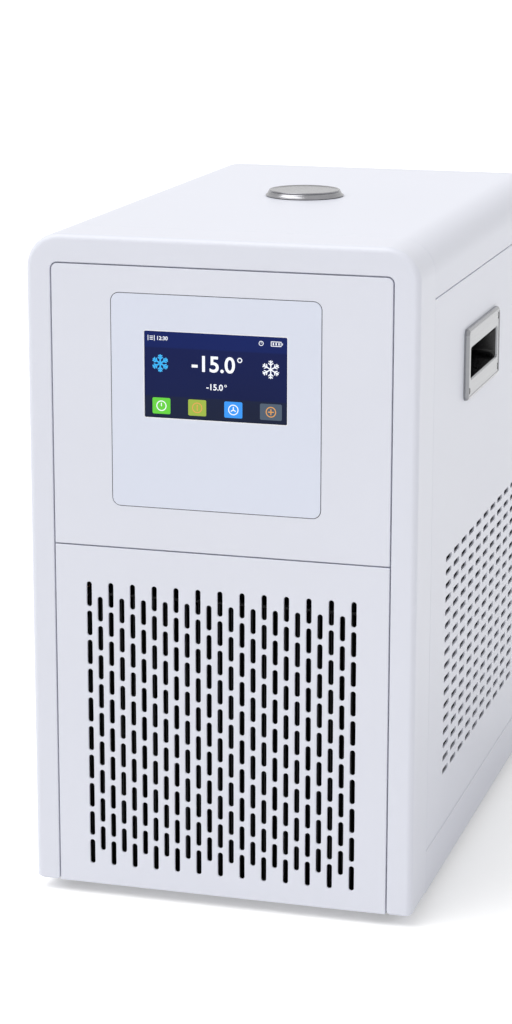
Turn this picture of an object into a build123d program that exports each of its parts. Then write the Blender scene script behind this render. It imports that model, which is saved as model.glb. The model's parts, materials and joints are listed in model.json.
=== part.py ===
from build123d import *
import os
from math import cos, pi, radians, sin

# Recirculating chiller, in millimetres. +Z is up and the front faces -Y.
# The origin is on the floor, under the middle of the box that holds the whole machine.

os.makedirs("parts", exist_ok=True)

# Casing
casing_width = 296.0
casing_depth = 465.0  # from the front face to the back face
shoulder_radius = 26.0
sheet = 1.5
seam_gap = 0.5  # between neighbouring sheets
skirt_height = 34.0
cover_drop = 43.4  # how far the top cover comes down the sides
joggle_height = 8.0  # offset tongue that slips behind the next sheet
joggle_gap = 0.3

# Feet
foot_radius = 12.0
foot_height = 9.0
foot_inset_side = 30.0
foot_inset_front = 34.0
foot_inset_rear = 45.0

# Moulded front frame
frame_depth = 50.0
leg_width = 18.75
top_bar = 20.6
frame_wall = 3.0
frame_edge_radius = 4.5
lip_width = 6.0
lip_thickness = 2.0
rail_height = 20.0

# Front panels
front_gap = 1.0
panel_depth = 4.0
panel_sheet = 2.0
panel_rim = 1.5
panel_edge = 0.6
panel_corner = 4.5
grille_height = 267.0
upper_panel_height = 210.4
grille_seat_gap = 0.3

# Display
display_offset = -3.0
overlay_size = 158.5
overlay_corner = 6.0
overlay_thickness = 1.2
overlay_stand = 0.2
overlay_gap = 0.5
overlay_rise = 6.3  # above the middle of the upper panel
window_width = 108.0
window_height = 64.0
window_rise = 20.5  # above the middle of the overlay
window_gap = 0.3
glass_recess = 0.2
screen_width = 121.0
screen_height = 76.0
screen_thickness = 7.0
board_width = 112.0
board_height = 70.0
board_thickness = 1.6
board_spacer = 6.0
board_spacer_size = 6.0
board_part_height = 8.0

# Front grille slots: long columns take turns with short ones, half a pitch higher
slot_width = 4.0
slot_length = 19.4
slot_pitch = 22.7
slot_column_pitch = 8.5
slot_side_margin = 24.0
slot_end_margin = 21.0
slot_field_drop = 5.65  # its middle, below the middle of the grille

# Side panel slots
vent_rows = 17
vent_columns = 10
vent_length = 20.0
vent_height = 4.0
vent_row_pitch = 10.6
vent_column_pitch = 28.3
vent_centre_height = 164.0
vent_centre_depth = 240.2

# Recessed handles
grip_plate_length = 146.0
grip_plate_height = 57.5
grip_plate_thickness = 2.0
grip_plate_corner = 4.0
grip_plate_edge = 1.0
grip_opening_length = 103.0
grip_opening_height = 25.0
grip_pocket_depth = 34.0
grip_wall = 1.2
grip_gap = 0.3
grip_drop = 113.0  # from the casing's top face to the middle of the plate
grip_centre_depth = 227.0
grip_opening_drop = 2.3  # the opening's centre, below the plate's

# Filler
filler_x = -8.0
filler_depth = 264.0
neck_radius = 25.0
neck_wall = 1.5
neck_gap = 1.0
neck_drop = 1.2  # rim of the neck, below the top cover's face
cap_radius = 31.4
cap_top_radius = 28.4
cap_height = 5.0
cap_floor_gap = 0.3
cap_spigot_radius = 22.5
cap_spigot_length = 14.0
seal_clearance = 0.2

# Reservoir
tank_wall = 1.2
tank_side_gap = 14.8  # from the insulation to the handles' pockets
tank_front_gap = 18.0  # from the insulation to the electrical box
tank_rear_gap = 61.5  # from the insulation to the rear panel
tank_head_gap = 42.0  # from the lid to the top cover
insulation = 10.0
tank_lid_thickness = 1.5
probe_radius = 3.0
probe_length = 130.0
probe_head = 10.0
probe_x = 55.0
probe_depth = 215.0

# Shelf
shelf_thickness = 2.0
shelf_underside = 238.0
shelf_side_gap = 30.0
shelf_front = 60.0
shelf_edge = 8.0  # behind the insulation
post_size = 18.0
post_front = 150.0
post_inset = 2.0

# Base tray
tray_floor = 2.0
tray_wall = 1.5
apron_gap = 2.0
apron_rim = 10.0

# Condenser, fan and its shroud
condenser_front = 14.0
condenser_depth = 40.0
condenser_height = 226.0
condenser_side_gap = 11.0
fin_pitch = 12.0
fin_count = 18
fin_thickness = 4.0
fin_cut = 8.0
shroud_depth = 20.0
shroud_wall = 1.5
shroud_collar = 12.0
fan_radius = 88.0
fan_tip_gap = 5.0
fan_hub_radius = 25.0
fan_hub_length = 20.0
fan_blades_count = 5
blade_chord = 46.0
blade_thickness = 2.0
blade_pitch = 25.0  # degrees
fan_gap = 10.0  # from the condenser to the hub
strap_width = 24.0
strap_thickness = 2.0
strap_stand = 18.0
strap_foot = 8.0
fan_motor_radius = 34.0
fan_motor_length = 42.0
shaft_radius = 4.0
shaft_clearance = 0.1

# Compressor
compressor_side_gap = 12.0  # from the base plate to the casing's side
compressor_rear_gap = 28.0  # from the base plate to the shelf's rear edge
compressor_shell_gap = 18.0  # from the base plate's side to the shell
compressor_shell_height = 182.0
compressor_end_height = 16.0
compressor_end_slope = 45.0  # degrees
compressor_pump_gap = 34.0  # from the base plate to the pump motor
compressor_base_length = 128.0
compressor_base_thickness = 3.0
mount_radius = 10.0
mount_height = 16.0
mount_inset = 13.0

# Pump
pump_side_gap = 34.0  # from the pump housing to the casing's side
pump_axis_height = 50.0
pump_motor_radius = 32.0
pump_rear_gap = 75.0  # from the pump housing to the shelf's rear edge
pump_motor_length = 90.0
pump_foot_width = 50.0
pump_foot_length = 60.0
volute_radius = 36.0
volute_length = 30.0
volute_wall = 4.0
impeller_disc = 4.0
impeller_gap = 3.0
vane_count = 6
vane_height = 10.0
vane_thickness = 3.0

# Round pieces inside the casing have flat sides, which keeps the model light
pipe_sides = 8
drum_sides = 16
pipe_clearance = 0.3
coil_radius = 4.0
coil_pitch = 24.0
coil_side_gap = 20.0
coil_drop = 25.0  # from the tank's top to the coil's ends
coil_floor_gap = 7.0
coil_end_gap = 12.0
gas_radius = 4.5
liquid_radius = 3.0
capillary_radius = 2.5
hose_radius = 7.0
drain_hose_radius = 6.0
cable_radius = 2.5
side_run_gap = 12.0  # from the condenser's end to the pipes beside it
rear_run_gap = 20.0  # from the insulation to the pipes behind it
drier_radius = 11.0
drier_length = 90.0
drier_neck = 10.0
drier_neck_radius = 5.0
drier_depth = 205.0
drier_bottom = 60.0
capillary_offset = 10.0
capillary_rise = 20.0
gas_port_drop = 10.0
suction_share = 0.7  # of the compressor shell's height
hose_rise = 40.0
feed_x = 45.0
feed_inset = 32.0

# Rear connections
fitting_side_gap = 70.0  # from the fittings to the casing's side
inlet_drop = 55.0  # from the tank's top
fitting_pitch = 70.0
stub_radius = 8.0
stub_length = 18.0
stub_bore = 5.0
nut_across = 24.0
nut_thickness = 8.0
locknut_thickness = 5.0
tail_length = 8.0
panel_hole_gap = 0.2
drain_x = 24.0
drain_height = 62.0
valve_across = 20.0
valve_length = 20.0
spout_radius = 6.0
spout_bore = 4.0
stem_radius = 3.0
stem_depth = 6.0
lever_length = 34.0
lever_width = 9.0
lever_thickness = 3.0
lever_gap = 0.3

# Mains inlet and switch
socket_side_gap = 53.0  # from the socket and the switch to the casing's side
socket_height = 70.0
socket_flange_width = 31.0
socket_flange_height = 23.0
socket_flange = 2.5
socket_body_width = 27.0
socket_body_height = 19.5
socket_body_depth = 22.0
socket_cavity_width = 24.5
socket_cavity_height = 16.5
socket_cavity_depth = 16.0
socket_cavity_chamfer = 4.0
socket_pin_pitch = 7.0
socket_pin_width = 2.0
socket_pin_height = 4.0
socket_pin_length = 13.0
socket_pin_drop = 2.0
switch_height = 115.0
switch_flange_width = 15.0
switch_flange_height = 21.0
switch_flange = 2.0
switch_body_depth = 18.0
switch_wall = 1.0
rocker_width = 10.4
rocker_half_length = 7.6
rocker_clearance = 0.65
rocker_side_gap = 0.3
rocker_tilt = 8.0  # degrees, off position
rocker_horn = 3.0
rocker_valley = 1.6
rocker_back = 2.5

# Rear vent
rear_vent_x = -12.0
rear_vent_bottom = 150.0
rear_vent_count = 12
rear_vent_pitch = 12.0
rear_vent_length = 110.0
rear_vent_width = 5.0

# Electrics
box_side_gap = 38.0
box_front = 66.0
box_depth = 84.0
box_head_gap = 68.5
box_sheet = 1.5
supply_side_gap = 4.5
supply_length = 40.0
supply_head_gap = 37.0
relay_side_gap = 12.5
relay_head_gap = 47.0
relay_size = 20.0
relay_pitch = 30.0
electrics_gap = 6.0
cable_side_gap = 6.0
cable_drop = 15.0

# Worked-out sizes
half_width = casing_width / 2
casing_height = grille_height + upper_panel_height + 2 * front_gap + top_bar  # without the feet
opening_width = casing_width - 2 * leg_width
opening_top = casing_height - top_bar
panel_width = opening_width - 2 * front_gap
panel_top = opening_top - front_gap
panel_low = grille_height + front_gap
overlay_height = (panel_low + panel_top) / 2 + overlay_rise
window_centre = overlay_height + window_rise
grip_centre_height = casing_height - grip_drop
cover_low = casing_height - cover_drop
cover_under = casing_height - sheet
rear_inner = casing_depth - sheet  # front side of the rear panel
sheet_end = rear_inner - seam_gap
lip_back = panel_depth + lip_thickness
rear_reach = nut_thickness + stub_length
front_y = -(casing_depth + rear_reach - overlay_stand) / 2

box_half_width = half_width - box_side_gap
box_low = shelf_underside + shelf_thickness
box_top = cover_under - box_head_gap
box_rear = box_front + box_depth
tank_width = 2 * (half_width - grip_pocket_depth - grip_wall - tank_side_gap - insulation)
tank_front = box_rear + tank_front_gap + insulation
insulation_rear = rear_inner - tank_rear_gap
tank_rear = insulation_rear - insulation
tank_low = box_low + insulation
lid_top = cover_under - tank_head_gap
tank_top = lid_top - tank_lid_thickness
coil_rise = tank_top - coil_drop
inlet_height = tank_top - inlet_drop
outlet_height = inlet_height - fitting_pitch
shelf_half_width = half_width - shelf_side_gap
shelf_rear = insulation_rear + shelf_edge
rear_run = insulation_rear + rear_run_gap
fitting_x = half_width - fitting_side_gap
inlet_x = socket_side_gap - half_width
cable_x = cable_side_gap - box_half_width
cable_height = box_top - cable_drop

condenser_half = opening_width / 2 - lip_width - condenser_side_gap
condenser_rear = condenser_front + condenser_depth
condenser_top = tray_floor + condenser_height
fan_axis_height = tray_floor + condenser_height / 2
side_run = condenser_half + side_run_gap
shroud_back = condenser_rear + shroud_depth
strap_depth = shroud_back + strap_stand

compressor_base_low = tray_floor + mount_height
compressor_low = compressor_base_low + compressor_base_thickness
compressor_top = compressor_low + compressor_shell_height
volute_rear = shelf_rear - pump_rear_gap
volute_front = volute_rear - volute_length
pump_motor_front = volute_front - pump_motor_length
pump_x = half_width - pump_side_gap - volute_radius
compressor_left = compressor_side_gap - half_width
compressor_right = pump_x - pump_motor_radius - compressor_pump_gap
compressor_base_width = compressor_right - compressor_left
compressor_radius = compressor_base_width / 2 - compressor_shell_gap
compressor_x = (compressor_left + compressor_right) / 2
compressor_centre_depth = shelf_rear - compressor_rear_gap - compressor_base_length / 2


def level(height):
    """Level plane at a height above the casing's bottom edge: x across, y is depth."""
    return Plane(origin=(0, front_y, foot_height + height), x_dir=(1, 0, 0), z_dir=(0, 0, 1))


def facing(depth):
    """Upright plane at a depth behind the front face, seen from the front: y is height."""
    return Plane(origin=(0, front_y + depth, foot_height), x_dir=(1, 0, 0), z_dir=(0, -1, 0))


def siding(x):
    """Upright plane across the machine at x, facing +X: x is depth and y is height."""
    return Plane(origin=(x, front_y, foot_height), x_dir=(0, 1, 0), z_dir=(1, 0, 0))


def place(x, depth, height):
    return (x, front_y + depth, foot_height + height)


def arch(width, low, high, corner):
    """Upright rectangle with rounded top corners."""
    with BuildSketch() as face:
        with Locations((0, (low + high) / 2)):
            Rectangle(width, high - low)
        fillet(face.vertices().group_by(Axis.Y)[-1], corner)
    return face.sketch


def span(x_low, x_high, y_low, y_high, mode=Mode.ADD):
    """Rectangle between two corners, in the open sketch."""
    with Locations(((x_low + x_high) / 2, (y_low + y_high) / 2)):
        Rectangle(x_high - x_low, y_high - y_low, mode=mode)


def pipe(radius, *route):
    """Bent pipe or hose through points given as x, depth and height."""
    with BuildPart() as run:
        with BuildLine() as path:
            Polyline(*[place(*point) for point in route])
        with BuildSketch(Plane(origin=path.line @ 0, z_dir=path.line % 0)):
            RegularPolygon(radius, pipe_sides)
        sweep(path=path.line, transition=Transition.RIGHT)
    return run


def pipe_hole(radius):
    """Hole in the open sketch that a pipe passes, whichever way its section is turned."""
    RegularPolygon(radius + pipe_clearance, pipe_sides, major_radius=False, mode=Mode.SUBTRACT)


# Base tray, with an apron that reaches forward between the legs of the front frame
apron_half = opening_width / 2 - lip_width - apron_gap
apron_front = lip_back + seam_gap
with BuildPart() as base_tray:
    with BuildSketch(level(0)):
        span(-half_width, half_width, frame_depth, casing_depth)
    extrude(amount=skirt_height)
    with BuildSketch(level(0)):
        span(-apron_half, apron_half, apron_front, frame_depth)
    extrude(amount=apron_rim)
    with BuildSketch(level(tray_floor)):
        span(tray_wall - half_width, half_width - tray_wall,
             frame_depth + tray_wall, casing_depth - tray_wall)
        span(tray_wall - apron_half, apron_half - tray_wall,
             apron_front + tray_wall, frame_depth + 2 * tray_wall)
    extrude(amount=skirt_height, mode=Mode.SUBTRACT)

# Rubber feet
foot_x = half_width - foot_inset_side
foot_depths = (foot_inset_front, casing_depth - foot_inset_rear)
with BuildPart() as rubber_feet:
    with BuildSketch(level(-foot_height)):
        with Locations(*[(x, depth) for x in (-foot_x, foot_x) for depth in foot_depths]):
            RegularPolygon(foot_radius, drum_sides)
    extrude(amount=foot_height)

# Front frame: outer skin, then its hollow from behind, then the lip that the panels sit on
frame_rear = frame_depth - seam_gap
window_half = opening_width / 2 - lip_width
seam_middle = grille_height + front_gap / 2
with BuildPart() as front_frame:
    with BuildSketch(facing(frame_rear)):
        add(arch(casing_width, 0, casing_height, shoulder_radius))
        add(arch(opening_width, -frame_wall, opening_top, panel_corner + front_gap), mode=Mode.SUBTRACT)
    extrude(amount=frame_rear)
    face_edges = front_frame.edges().group_by(Axis.Y)[0]
    outer_side = opening_width / 2 + frame_wall
    outer_top = foot_height + opening_top + frame_wall
    fillet(
        face_edges.filter_by(lambda e: abs(e.center().X) > outer_side or e.center().Z > outer_top),
        frame_edge_radius,
    )
    with BuildSketch(facing(frame_rear)):
        add(arch(casing_width - 2 * frame_wall, frame_wall, casing_height - frame_wall,
                 shoulder_radius - frame_wall))
        add(arch(opening_width + 2 * frame_wall, 0, opening_top + frame_wall,
                 panel_corner + front_gap + frame_wall), mode=Mode.SUBTRACT)
    extrude(amount=frame_rear - frame_wall, mode=Mode.SUBTRACT)
    with BuildSketch(facing(lip_back)):
        span(-opening_width / 2 - frame_wall, opening_width / 2 + frame_wall, 0, opening_top + frame_wall)
        span(-window_half, window_half, seam_middle + rail_height / 2, opening_top - lip_width, Mode.SUBTRACT)
        span(-window_half, window_half, 0, seam_middle - rail_height / 2, Mode.SUBTRACT)
    extrude(amount=lip_thickness)

# Upper front panel: a shallow pan with a recess for the overlay and a window for the screen
with BuildPart() as upper_front_panel:
    with BuildSketch(facing(panel_depth)):
        add(arch(panel_width, panel_low, panel_top, panel_corner))
    extrude(amount=panel_depth)
    chamfer(upper_front_panel.faces().sort_by(Axis.Y)[0].edges(), panel_edge)
    with BuildSketch(facing(panel_depth)):
        span(panel_rim - panel_width / 2, panel_width / 2 - panel_rim,
             panel_low + panel_rim, panel_top - panel_corner)
    extrude(amount=panel_depth - panel_sheet, mode=Mode.SUBTRACT)
    with BuildSketch(facing(overlay_thickness - overlay_stand)):
        with Locations((display_offset, overlay_height)):
            RectangleRounded(overlay_size + 2 * overlay_gap, overlay_size + 2 * overlay_gap,
                             overlay_corner + overlay_gap)
    extrude(amount=overlay_thickness, mode=Mode.SUBTRACT)
    with BuildSketch(facing(panel_sheet)):
        with Locations((display_offset, window_centre)):
            Rectangle(window_width, window_height)
    extrude(amount=panel_sheet, mode=Mode.SUBTRACT)

# Overlay plate
with BuildPart() as display_overlay:
    with BuildSketch(facing(overlay_thickness - overlay_stand)):
        with Locations((display_offset, overlay_height)):
            RectangleRounded(overlay_size, overlay_size, overlay_corner)
        with Locations((display_offset, window_centre)):
            Rectangle(window_width, window_height, mode=Mode.SUBTRACT)
    extrude(amount=overlay_thickness)

# Screen: its glass stands in the window, its body lies on the back of the panel
glass_front = glass_recess - overlay_stand
with BuildPart() as display_screen:
    with BuildSketch(facing(panel_sheet)):
        with Locations((display_offset, window_centre)):
            Rectangle(window_width - 2 * window_gap, window_height - 2 * window_gap)
    extrude(amount=panel_sheet - glass_front)
    with BuildSketch(facing(panel_sheet + screen_thickness)):
        with Locations((display_offset, window_centre)):
            Rectangle(screen_width, screen_height)
    extrude(amount=screen_thickness)

# Controller board on four spacers behind the screen
board_front = panel_sheet + screen_thickness + board_spacer
with BuildPart() as controller_board:
    with BuildSketch(facing(board_front + board_thickness)):
        with Locations((display_offset, window_centre)):
            Rectangle(board_width, board_height)
    extrude(amount=board_thickness)
    with BuildSketch(facing(board_front)):
        with Locations((display_offset, window_centre)):
            with GridLocations(board_width - board_spacer_size, board_height - board_spacer_size, 2, 2):
                Rectangle(board_spacer_size, board_spacer_size)
    extrude(amount=board_spacer)
    with BuildSketch(facing(board_front + board_thickness + board_part_height)):
        with Locations((display_offset, window_centre)):
            with GridLocations(board_width / 2, board_height / 2, 2, 2):
                Rectangle(board_width / 4, board_height / 5)
    extrude(amount=board_part_height)

# Front grille: a pan with staggered slots, held just off the frame's lip
slot_pairs = int((panel_width / 2 - slot_side_margin - slot_width / 2) / slot_column_pitch)
slot_rows = int((grille_height - 2 * slot_end_margin - slot_length) / slot_pitch)
slot_field_centre = grille_height / 2 - slot_field_drop
with BuildPart() as front_grille:
    with BuildSketch(facing(panel_depth - grille_seat_gap)):
        span(-panel_width / 2, panel_width / 2, 0, grille_height)
    extrude(amount=panel_depth - grille_seat_gap)
    chamfer(front_grille.faces().sort_by(Axis.Y)[0].edges(), panel_edge)
    with BuildSketch(facing(panel_depth)):
        span(panel_rim - panel_width / 2, panel_width / 2 - panel_rim, panel_rim, grille_height - panel_rim)
    extrude(amount=panel_depth - sheet, mode=Mode.SUBTRACT)
    with BuildSketch(facing(sheet)):
        with Locations((0, slot_field_centre)):
            with GridLocations(2 * slot_column_pitch, slot_pitch, slot_pairs + 1, slot_rows + 1):
                Rectangle(slot_width, slot_length)
            with GridLocations(2 * slot_column_pitch, slot_pitch, slot_pairs, slot_rows):
                Rectangle(slot_width, slot_length)
    extrude(amount=sheet, mode=Mode.SUBTRACT)

# Top cover with the hole for the filler neck
with BuildPart() as top_cover:
    with BuildSketch(facing(sheet_end)):
        add(arch(casing_width, cover_low, casing_height, shoulder_radius))
        add(arch(casing_width - 2 * sheet, cover_low, casing_height - sheet, shoulder_radius - sheet),
            mode=Mode.SUBTRACT)
    extrude(amount=sheet_end - frame_depth)
    with BuildSketch(level(casing_height - sheet)):
        with Locations((filler_x, filler_depth)):
            RegularPolygon(neck_radius + neck_gap, drum_sides)
    extrude(amount=sheet, mode=Mode.SUBTRACT)

# Side panels: a flat sheet with offset tongues at the top and bottom, slotted on the right
tongue_outer = half_width - sheet - joggle_gap
cup_half_length = grip_opening_length / 2 + grip_wall
cup_half_height = grip_opening_height / 2 + grip_wall
grip_opening_centre = grip_centre_height - grip_opening_drop
panel_foot = skirt_height + seam_gap
panel_head = cover_low - seam_gap
with BuildPart() as side_sheet:
    with BuildSketch(siding(half_width - sheet)):
        span(frame_depth, sheet_end, panel_foot, panel_head)
        with Locations((grip_centre_depth, grip_opening_centre)):
            Rectangle(2 * (cup_half_length + grip_gap), 2 * (cup_half_height + grip_gap), mode=Mode.SUBTRACT)
    extrude(amount=sheet)
    with BuildSketch(siding(tongue_outer - sheet)):
        for low, high in ((panel_foot - joggle_height, panel_foot + joggle_height),
                          (panel_head - joggle_height, panel_head + joggle_height)):
            span(frame_depth + joggle_height, sheet_end - joggle_height, low, high)
    extrude(amount=sheet)
    with BuildSketch(siding(tongue_outer)):
        for low, high in ((panel_foot, panel_foot + joggle_height),
                          (panel_head - joggle_height, panel_head)):
            span(frame_depth + joggle_height, sheet_end - joggle_height, low, high)
    extrude(amount=joggle_gap)
with BuildPart() as side_panel_right:
    add(side_sheet.part)
    with BuildSketch(siding(half_width - sheet)):
        with Locations((vent_centre_depth, vent_centre_height)):
            with GridLocations(vent_column_pitch, vent_row_pitch, vent_columns, vent_rows):
                Rectangle(vent_length, vent_height)
    extrude(amount=sheet, mode=Mode.SUBTRACT)
with BuildPart() as side_panel_left:
    mirror(side_sheet.part, about=Plane.YZ)

# Recessed handles: a plate on the panel and a cup behind it
with BuildPart() as handle_right:
    with BuildSketch(siding(half_width)):
        with Locations((grip_centre_depth, grip_centre_height)):
            RectangleRounded(grip_plate_length, grip_plate_height, grip_plate_corner)
    extrude(amount=grip_plate_thickness)
    chamfer(handle_right.faces().sort_by(Axis.X)[-1].edges(), grip_plate_edge)
    with BuildSketch(siding(half_width - grip_pocket_depth - grip_wall)):
        with Locations((grip_centre_depth, grip_opening_centre)):
            Rectangle(2 * cup_half_length, 2 * cup_half_height)
    extrude(amount=grip_pocket_depth + grip_wall)
    with BuildSketch(siding(half_width - grip_pocket_depth)):
        with Locations((grip_centre_depth, grip_opening_centre)):
            Rectangle(grip_opening_length, grip_opening_height)
    extrude(amount=grip_pocket_depth + grip_plate_thickness, mode=Mode.SUBTRACT)
with BuildPart() as handle_left:
    mirror(handle_right.part, about=Plane.YZ)

# Rear panel with the air slots and the holes of the connections
rear_vent_centre = rear_vent_bottom + (rear_vent_count - 1) * rear_vent_pitch / 2
switch_body_width = rocker_width + 2 * (rocker_side_gap + switch_wall)
switch_body_height = 2 * (rocker_half_length + rocker_clearance + switch_wall)
with BuildPart() as rear_panel:
    with BuildSketch(facing(casing_depth)):
        add(arch(casing_width, skirt_height + seam_gap, casing_height, shoulder_radius))
        with Locations((rear_vent_x, rear_vent_centre)):
            with GridLocations(0, rear_vent_pitch, 1, rear_vent_count):
                Rectangle(rear_vent_length, rear_vent_width, mode=Mode.SUBTRACT)
        with Locations((fitting_x, outlet_height), (fitting_x, inlet_height)):
            RegularPolygon(stub_radius + panel_hole_gap, pipe_sides, major_radius=False, mode=Mode.SUBTRACT)
        with Locations((drain_x, drain_height)):
            RegularPolygon(spout_radius + panel_hole_gap, pipe_sides, major_radius=False, mode=Mode.SUBTRACT)
        with Locations((inlet_x, socket_height)):
            Rectangle(socket_body_width + 2 * panel_hole_gap, socket_body_height + 2 * panel_hole_gap,
                      mode=Mode.SUBTRACT)
        with Locations((inlet_x, switch_height)):
            Rectangle(switch_body_width + 2 * panel_hole_gap, switch_body_height + 2 * panel_hole_gap,
                      mode=Mode.SUBTRACT)
    extrude(amount=sheet)

# Filler cap: a turned disc with a sloping edge and a spigot in the neck
cap_low = casing_height + cap_floor_gap
cap_top = cap_low + cap_height
with BuildPart() as filler_cap:
    with BuildSketch(Plane(origin=place(filler_x, filler_depth, 0), x_dir=(1, 0, 0), z_dir=(0, -1, 0))):
        with BuildLine():
            Polyline(
                (0, cap_low),
                (cap_radius, cap_low),
                (cap_top_radius, cap_top),
                (0, cap_top),
                close=True,
            )
        make_face()
    revolve(axis=Axis(place(filler_x, filler_depth, 0), (0, 0, 1)))
    with BuildSketch(level(cap_low - cap_spigot_length)):
        with Locations((filler_x, filler_depth)):
            RegularPolygon(cap_spigot_radius, drum_sides)
    extrude(amount=cap_spigot_length)

# Flat seal round the spigot, on the rim of the neck
neck_top = casing_height - neck_drop
with BuildPart() as cap_seal:
    with BuildSketch(level(neck_top + seal_clearance)):
        with Locations((filler_x, filler_depth)):
            RegularPolygon(neck_radius, drum_sides)
            RegularPolygon(cap_spigot_radius + seal_clearance, drum_sides, mode=Mode.SUBTRACT)
    extrude(amount=cap_low - neck_top - seal_clearance)

# Places where pipes and hoses go through the tank
coil_passes = 2 * int((tank_width - 2 * coil_side_gap + coil_pitch) / (2 * coil_pitch))
coil_half = (coil_passes - 1) * coil_pitch / 2
feed_depth = tank_rear - feed_inset
drain_depth = tank_rear - tank_wall - 2 * drain_hose_radius
rear_wall_pipes = ((-coil_half, coil_rise, coil_radius), (coil_half, coil_rise, coil_radius),
                   (fitting_x, inlet_height, hose_radius))
floor_pipes = ((feed_x, feed_depth, hose_radius), (drain_x, drain_depth, drain_hose_radius))

# Reservoir tank, open at the top
with BuildPart() as reservoir_tank:
    with BuildSketch(level(tank_low)):
        span(-tank_width / 2, tank_width / 2, tank_front, tank_rear)
    extrude(amount=tank_top - tank_low)
    offset(amount=-tank_wall, openings=reservoir_tank.faces().sort_by(Axis.Z)[-1])
    with BuildSketch(facing(tank_rear)):
        for x, height, radius in rear_wall_pipes:
            with Locations((x, height)):
                RegularPolygon(radius + pipe_clearance, pipe_sides, major_radius=False)
    extrude(amount=tank_wall, mode=Mode.SUBTRACT)
    with BuildSketch(level(tank_low)):
        for x, depth, radius in floor_pipes:
            with Locations((x, depth)):
                RegularPolygon(radius + pipe_clearance, pipe_sides, major_radius=False)
    extrude(amount=tank_wall, mode=Mode.SUBTRACT)

# Foam round the tank's walls and floor
with BuildPart() as tank_insulation:
    with BuildSketch(level(tank_low - insulation)):
        span(-tank_width / 2 - insulation, tank_width / 2 + insulation,
             tank_front - insulation, tank_rear + insulation)
    extrude(amount=tank_top - tank_low + insulation)
    with BuildSketch(level(tank_low)):
        span(-tank_width / 2, tank_width / 2, tank_front, tank_rear)
    extrude(amount=tank_top - tank_low, mode=Mode.SUBTRACT)
    with BuildSketch(facing(insulation_rear)):
        for x, height, radius in rear_wall_pipes:
            with Locations((x, height)):
                RegularPolygon(radius + pipe_clearance, pipe_sides, major_radius=False)
    extrude(amount=insulation, mode=Mode.SUBTRACT)
    with BuildSketch(level(tank_low - insulation)):
        for x, depth, radius in floor_pipes:
            with Locations((x, depth)):
                RegularPolygon(radius + pipe_clearance, pipe_sides, major_radius=False)
    extrude(amount=insulation, mode=Mode.SUBTRACT)

# Tank lid with the welded filler neck and the probe's hole
with BuildPart() as tank_lid:
    with BuildSketch(level(tank_top)):
        span(-tank_width / 2 - insulation, tank_width / 2 + insulation,
             tank_front - insulation, tank_rear + insulation)
        with Locations((probe_x, probe_depth)):
            pipe_hole(probe_radius)
    extrude(amount=tank_lid_thickness)
    with BuildSketch(level(tank_top)):
        with Locations((filler_x, filler_depth)):
            RegularPolygon(neck_radius, drum_sides)
    extrude(amount=neck_top - tank_top)
    with BuildSketch(level(tank_top)):
        with Locations((filler_x, filler_depth)):
            RegularPolygon(neck_radius - neck_wall, drum_sides)
    extrude(amount=neck_top - tank_top, mode=Mode.SUBTRACT)

# Temperature probe: a rod with a square head on the lid
with BuildPart() as temperature_probe:
    with BuildSketch(level(lid_top - probe_length)):
        with Locations((probe_x, probe_depth)):
            RegularPolygon(probe_radius, pipe_sides)
    extrude(amount=probe_length)
    with BuildSketch(level(lid_top)):
        with Locations((probe_x, probe_depth)):
            Rectangle(probe_head, probe_head)
    extrude(amount=probe_head)

# Shelf on four angle posts
with BuildPart() as reservoir_shelf:
    with BuildSketch(level(shelf_underside)):
        span(-shelf_half_width, shelf_half_width, shelf_front, shelf_rear)
        for x, depth, radius in floor_pipes:
            with Locations((x, depth)):
                pipe_hole(radius)
    extrude(amount=shelf_thickness)
    with BuildSketch(level(tray_floor)):
        post_outer = shelf_half_width - post_inset
        for side in (-1, 1):
            for start, wall in ((post_front, post_front), (shelf_rear - post_size, shelf_rear - shelf_thickness)):
                x_low, x_high = sorted((side * post_outer, side * (post_outer - shelf_thickness)))
                span(x_low, x_high, start, start + post_size)
                x_low, x_high = sorted((side * post_outer, side * (post_outer - post_size)))
                span(x_low, x_high, wall, wall + shelf_thickness)
    extrude(amount=shelf_underside - tray_floor)

# Condenser: a finned block with its tube ends on the left
with BuildPart() as condenser:
    with BuildSketch(level(tray_floor)):
        span(-condenser_half, condenser_half, condenser_front, condenser_rear)
        with Locations((0, condenser_front + fin_cut / 2)):
            with GridLocations(fin_pitch, 0, fin_count, 1):
                Rectangle(fin_pitch - fin_thickness, fin_cut, mode=Mode.SUBTRACT)
    extrude(amount=condenser_height)

# Fan shroud: a shallow hood with a round collar
shroud_hole = fan_radius + fan_tip_gap
with BuildPart() as fan_shroud:
    with BuildSketch(facing(shroud_back)):
        span(-condenser_half, condenser_half, tray_floor, condenser_top)
    extrude(amount=shroud_depth)
    with BuildSketch(facing(shroud_back - shroud_wall)):
        span(shroud_wall - condenser_half, condenser_half - shroud_wall,
             tray_floor + shroud_wall, condenser_top - shroud_wall)
    extrude(amount=shroud_depth, mode=Mode.SUBTRACT)
    with BuildSketch(facing(shroud_back + shroud_collar)):
        with Locations((0, fan_axis_height)):
            RegularPolygon(shroud_hole + shroud_wall, drum_sides, major_radius=False)
    extrude(amount=shroud_collar)
    with BuildSketch(facing(shroud_back + shroud_collar)):
        with Locations((0, fan_axis_height)):
            RegularPolygon(shroud_hole, drum_sides, major_radius=False)
    extrude(amount=shroud_collar + shroud_wall, mode=Mode.SUBTRACT)

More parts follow.
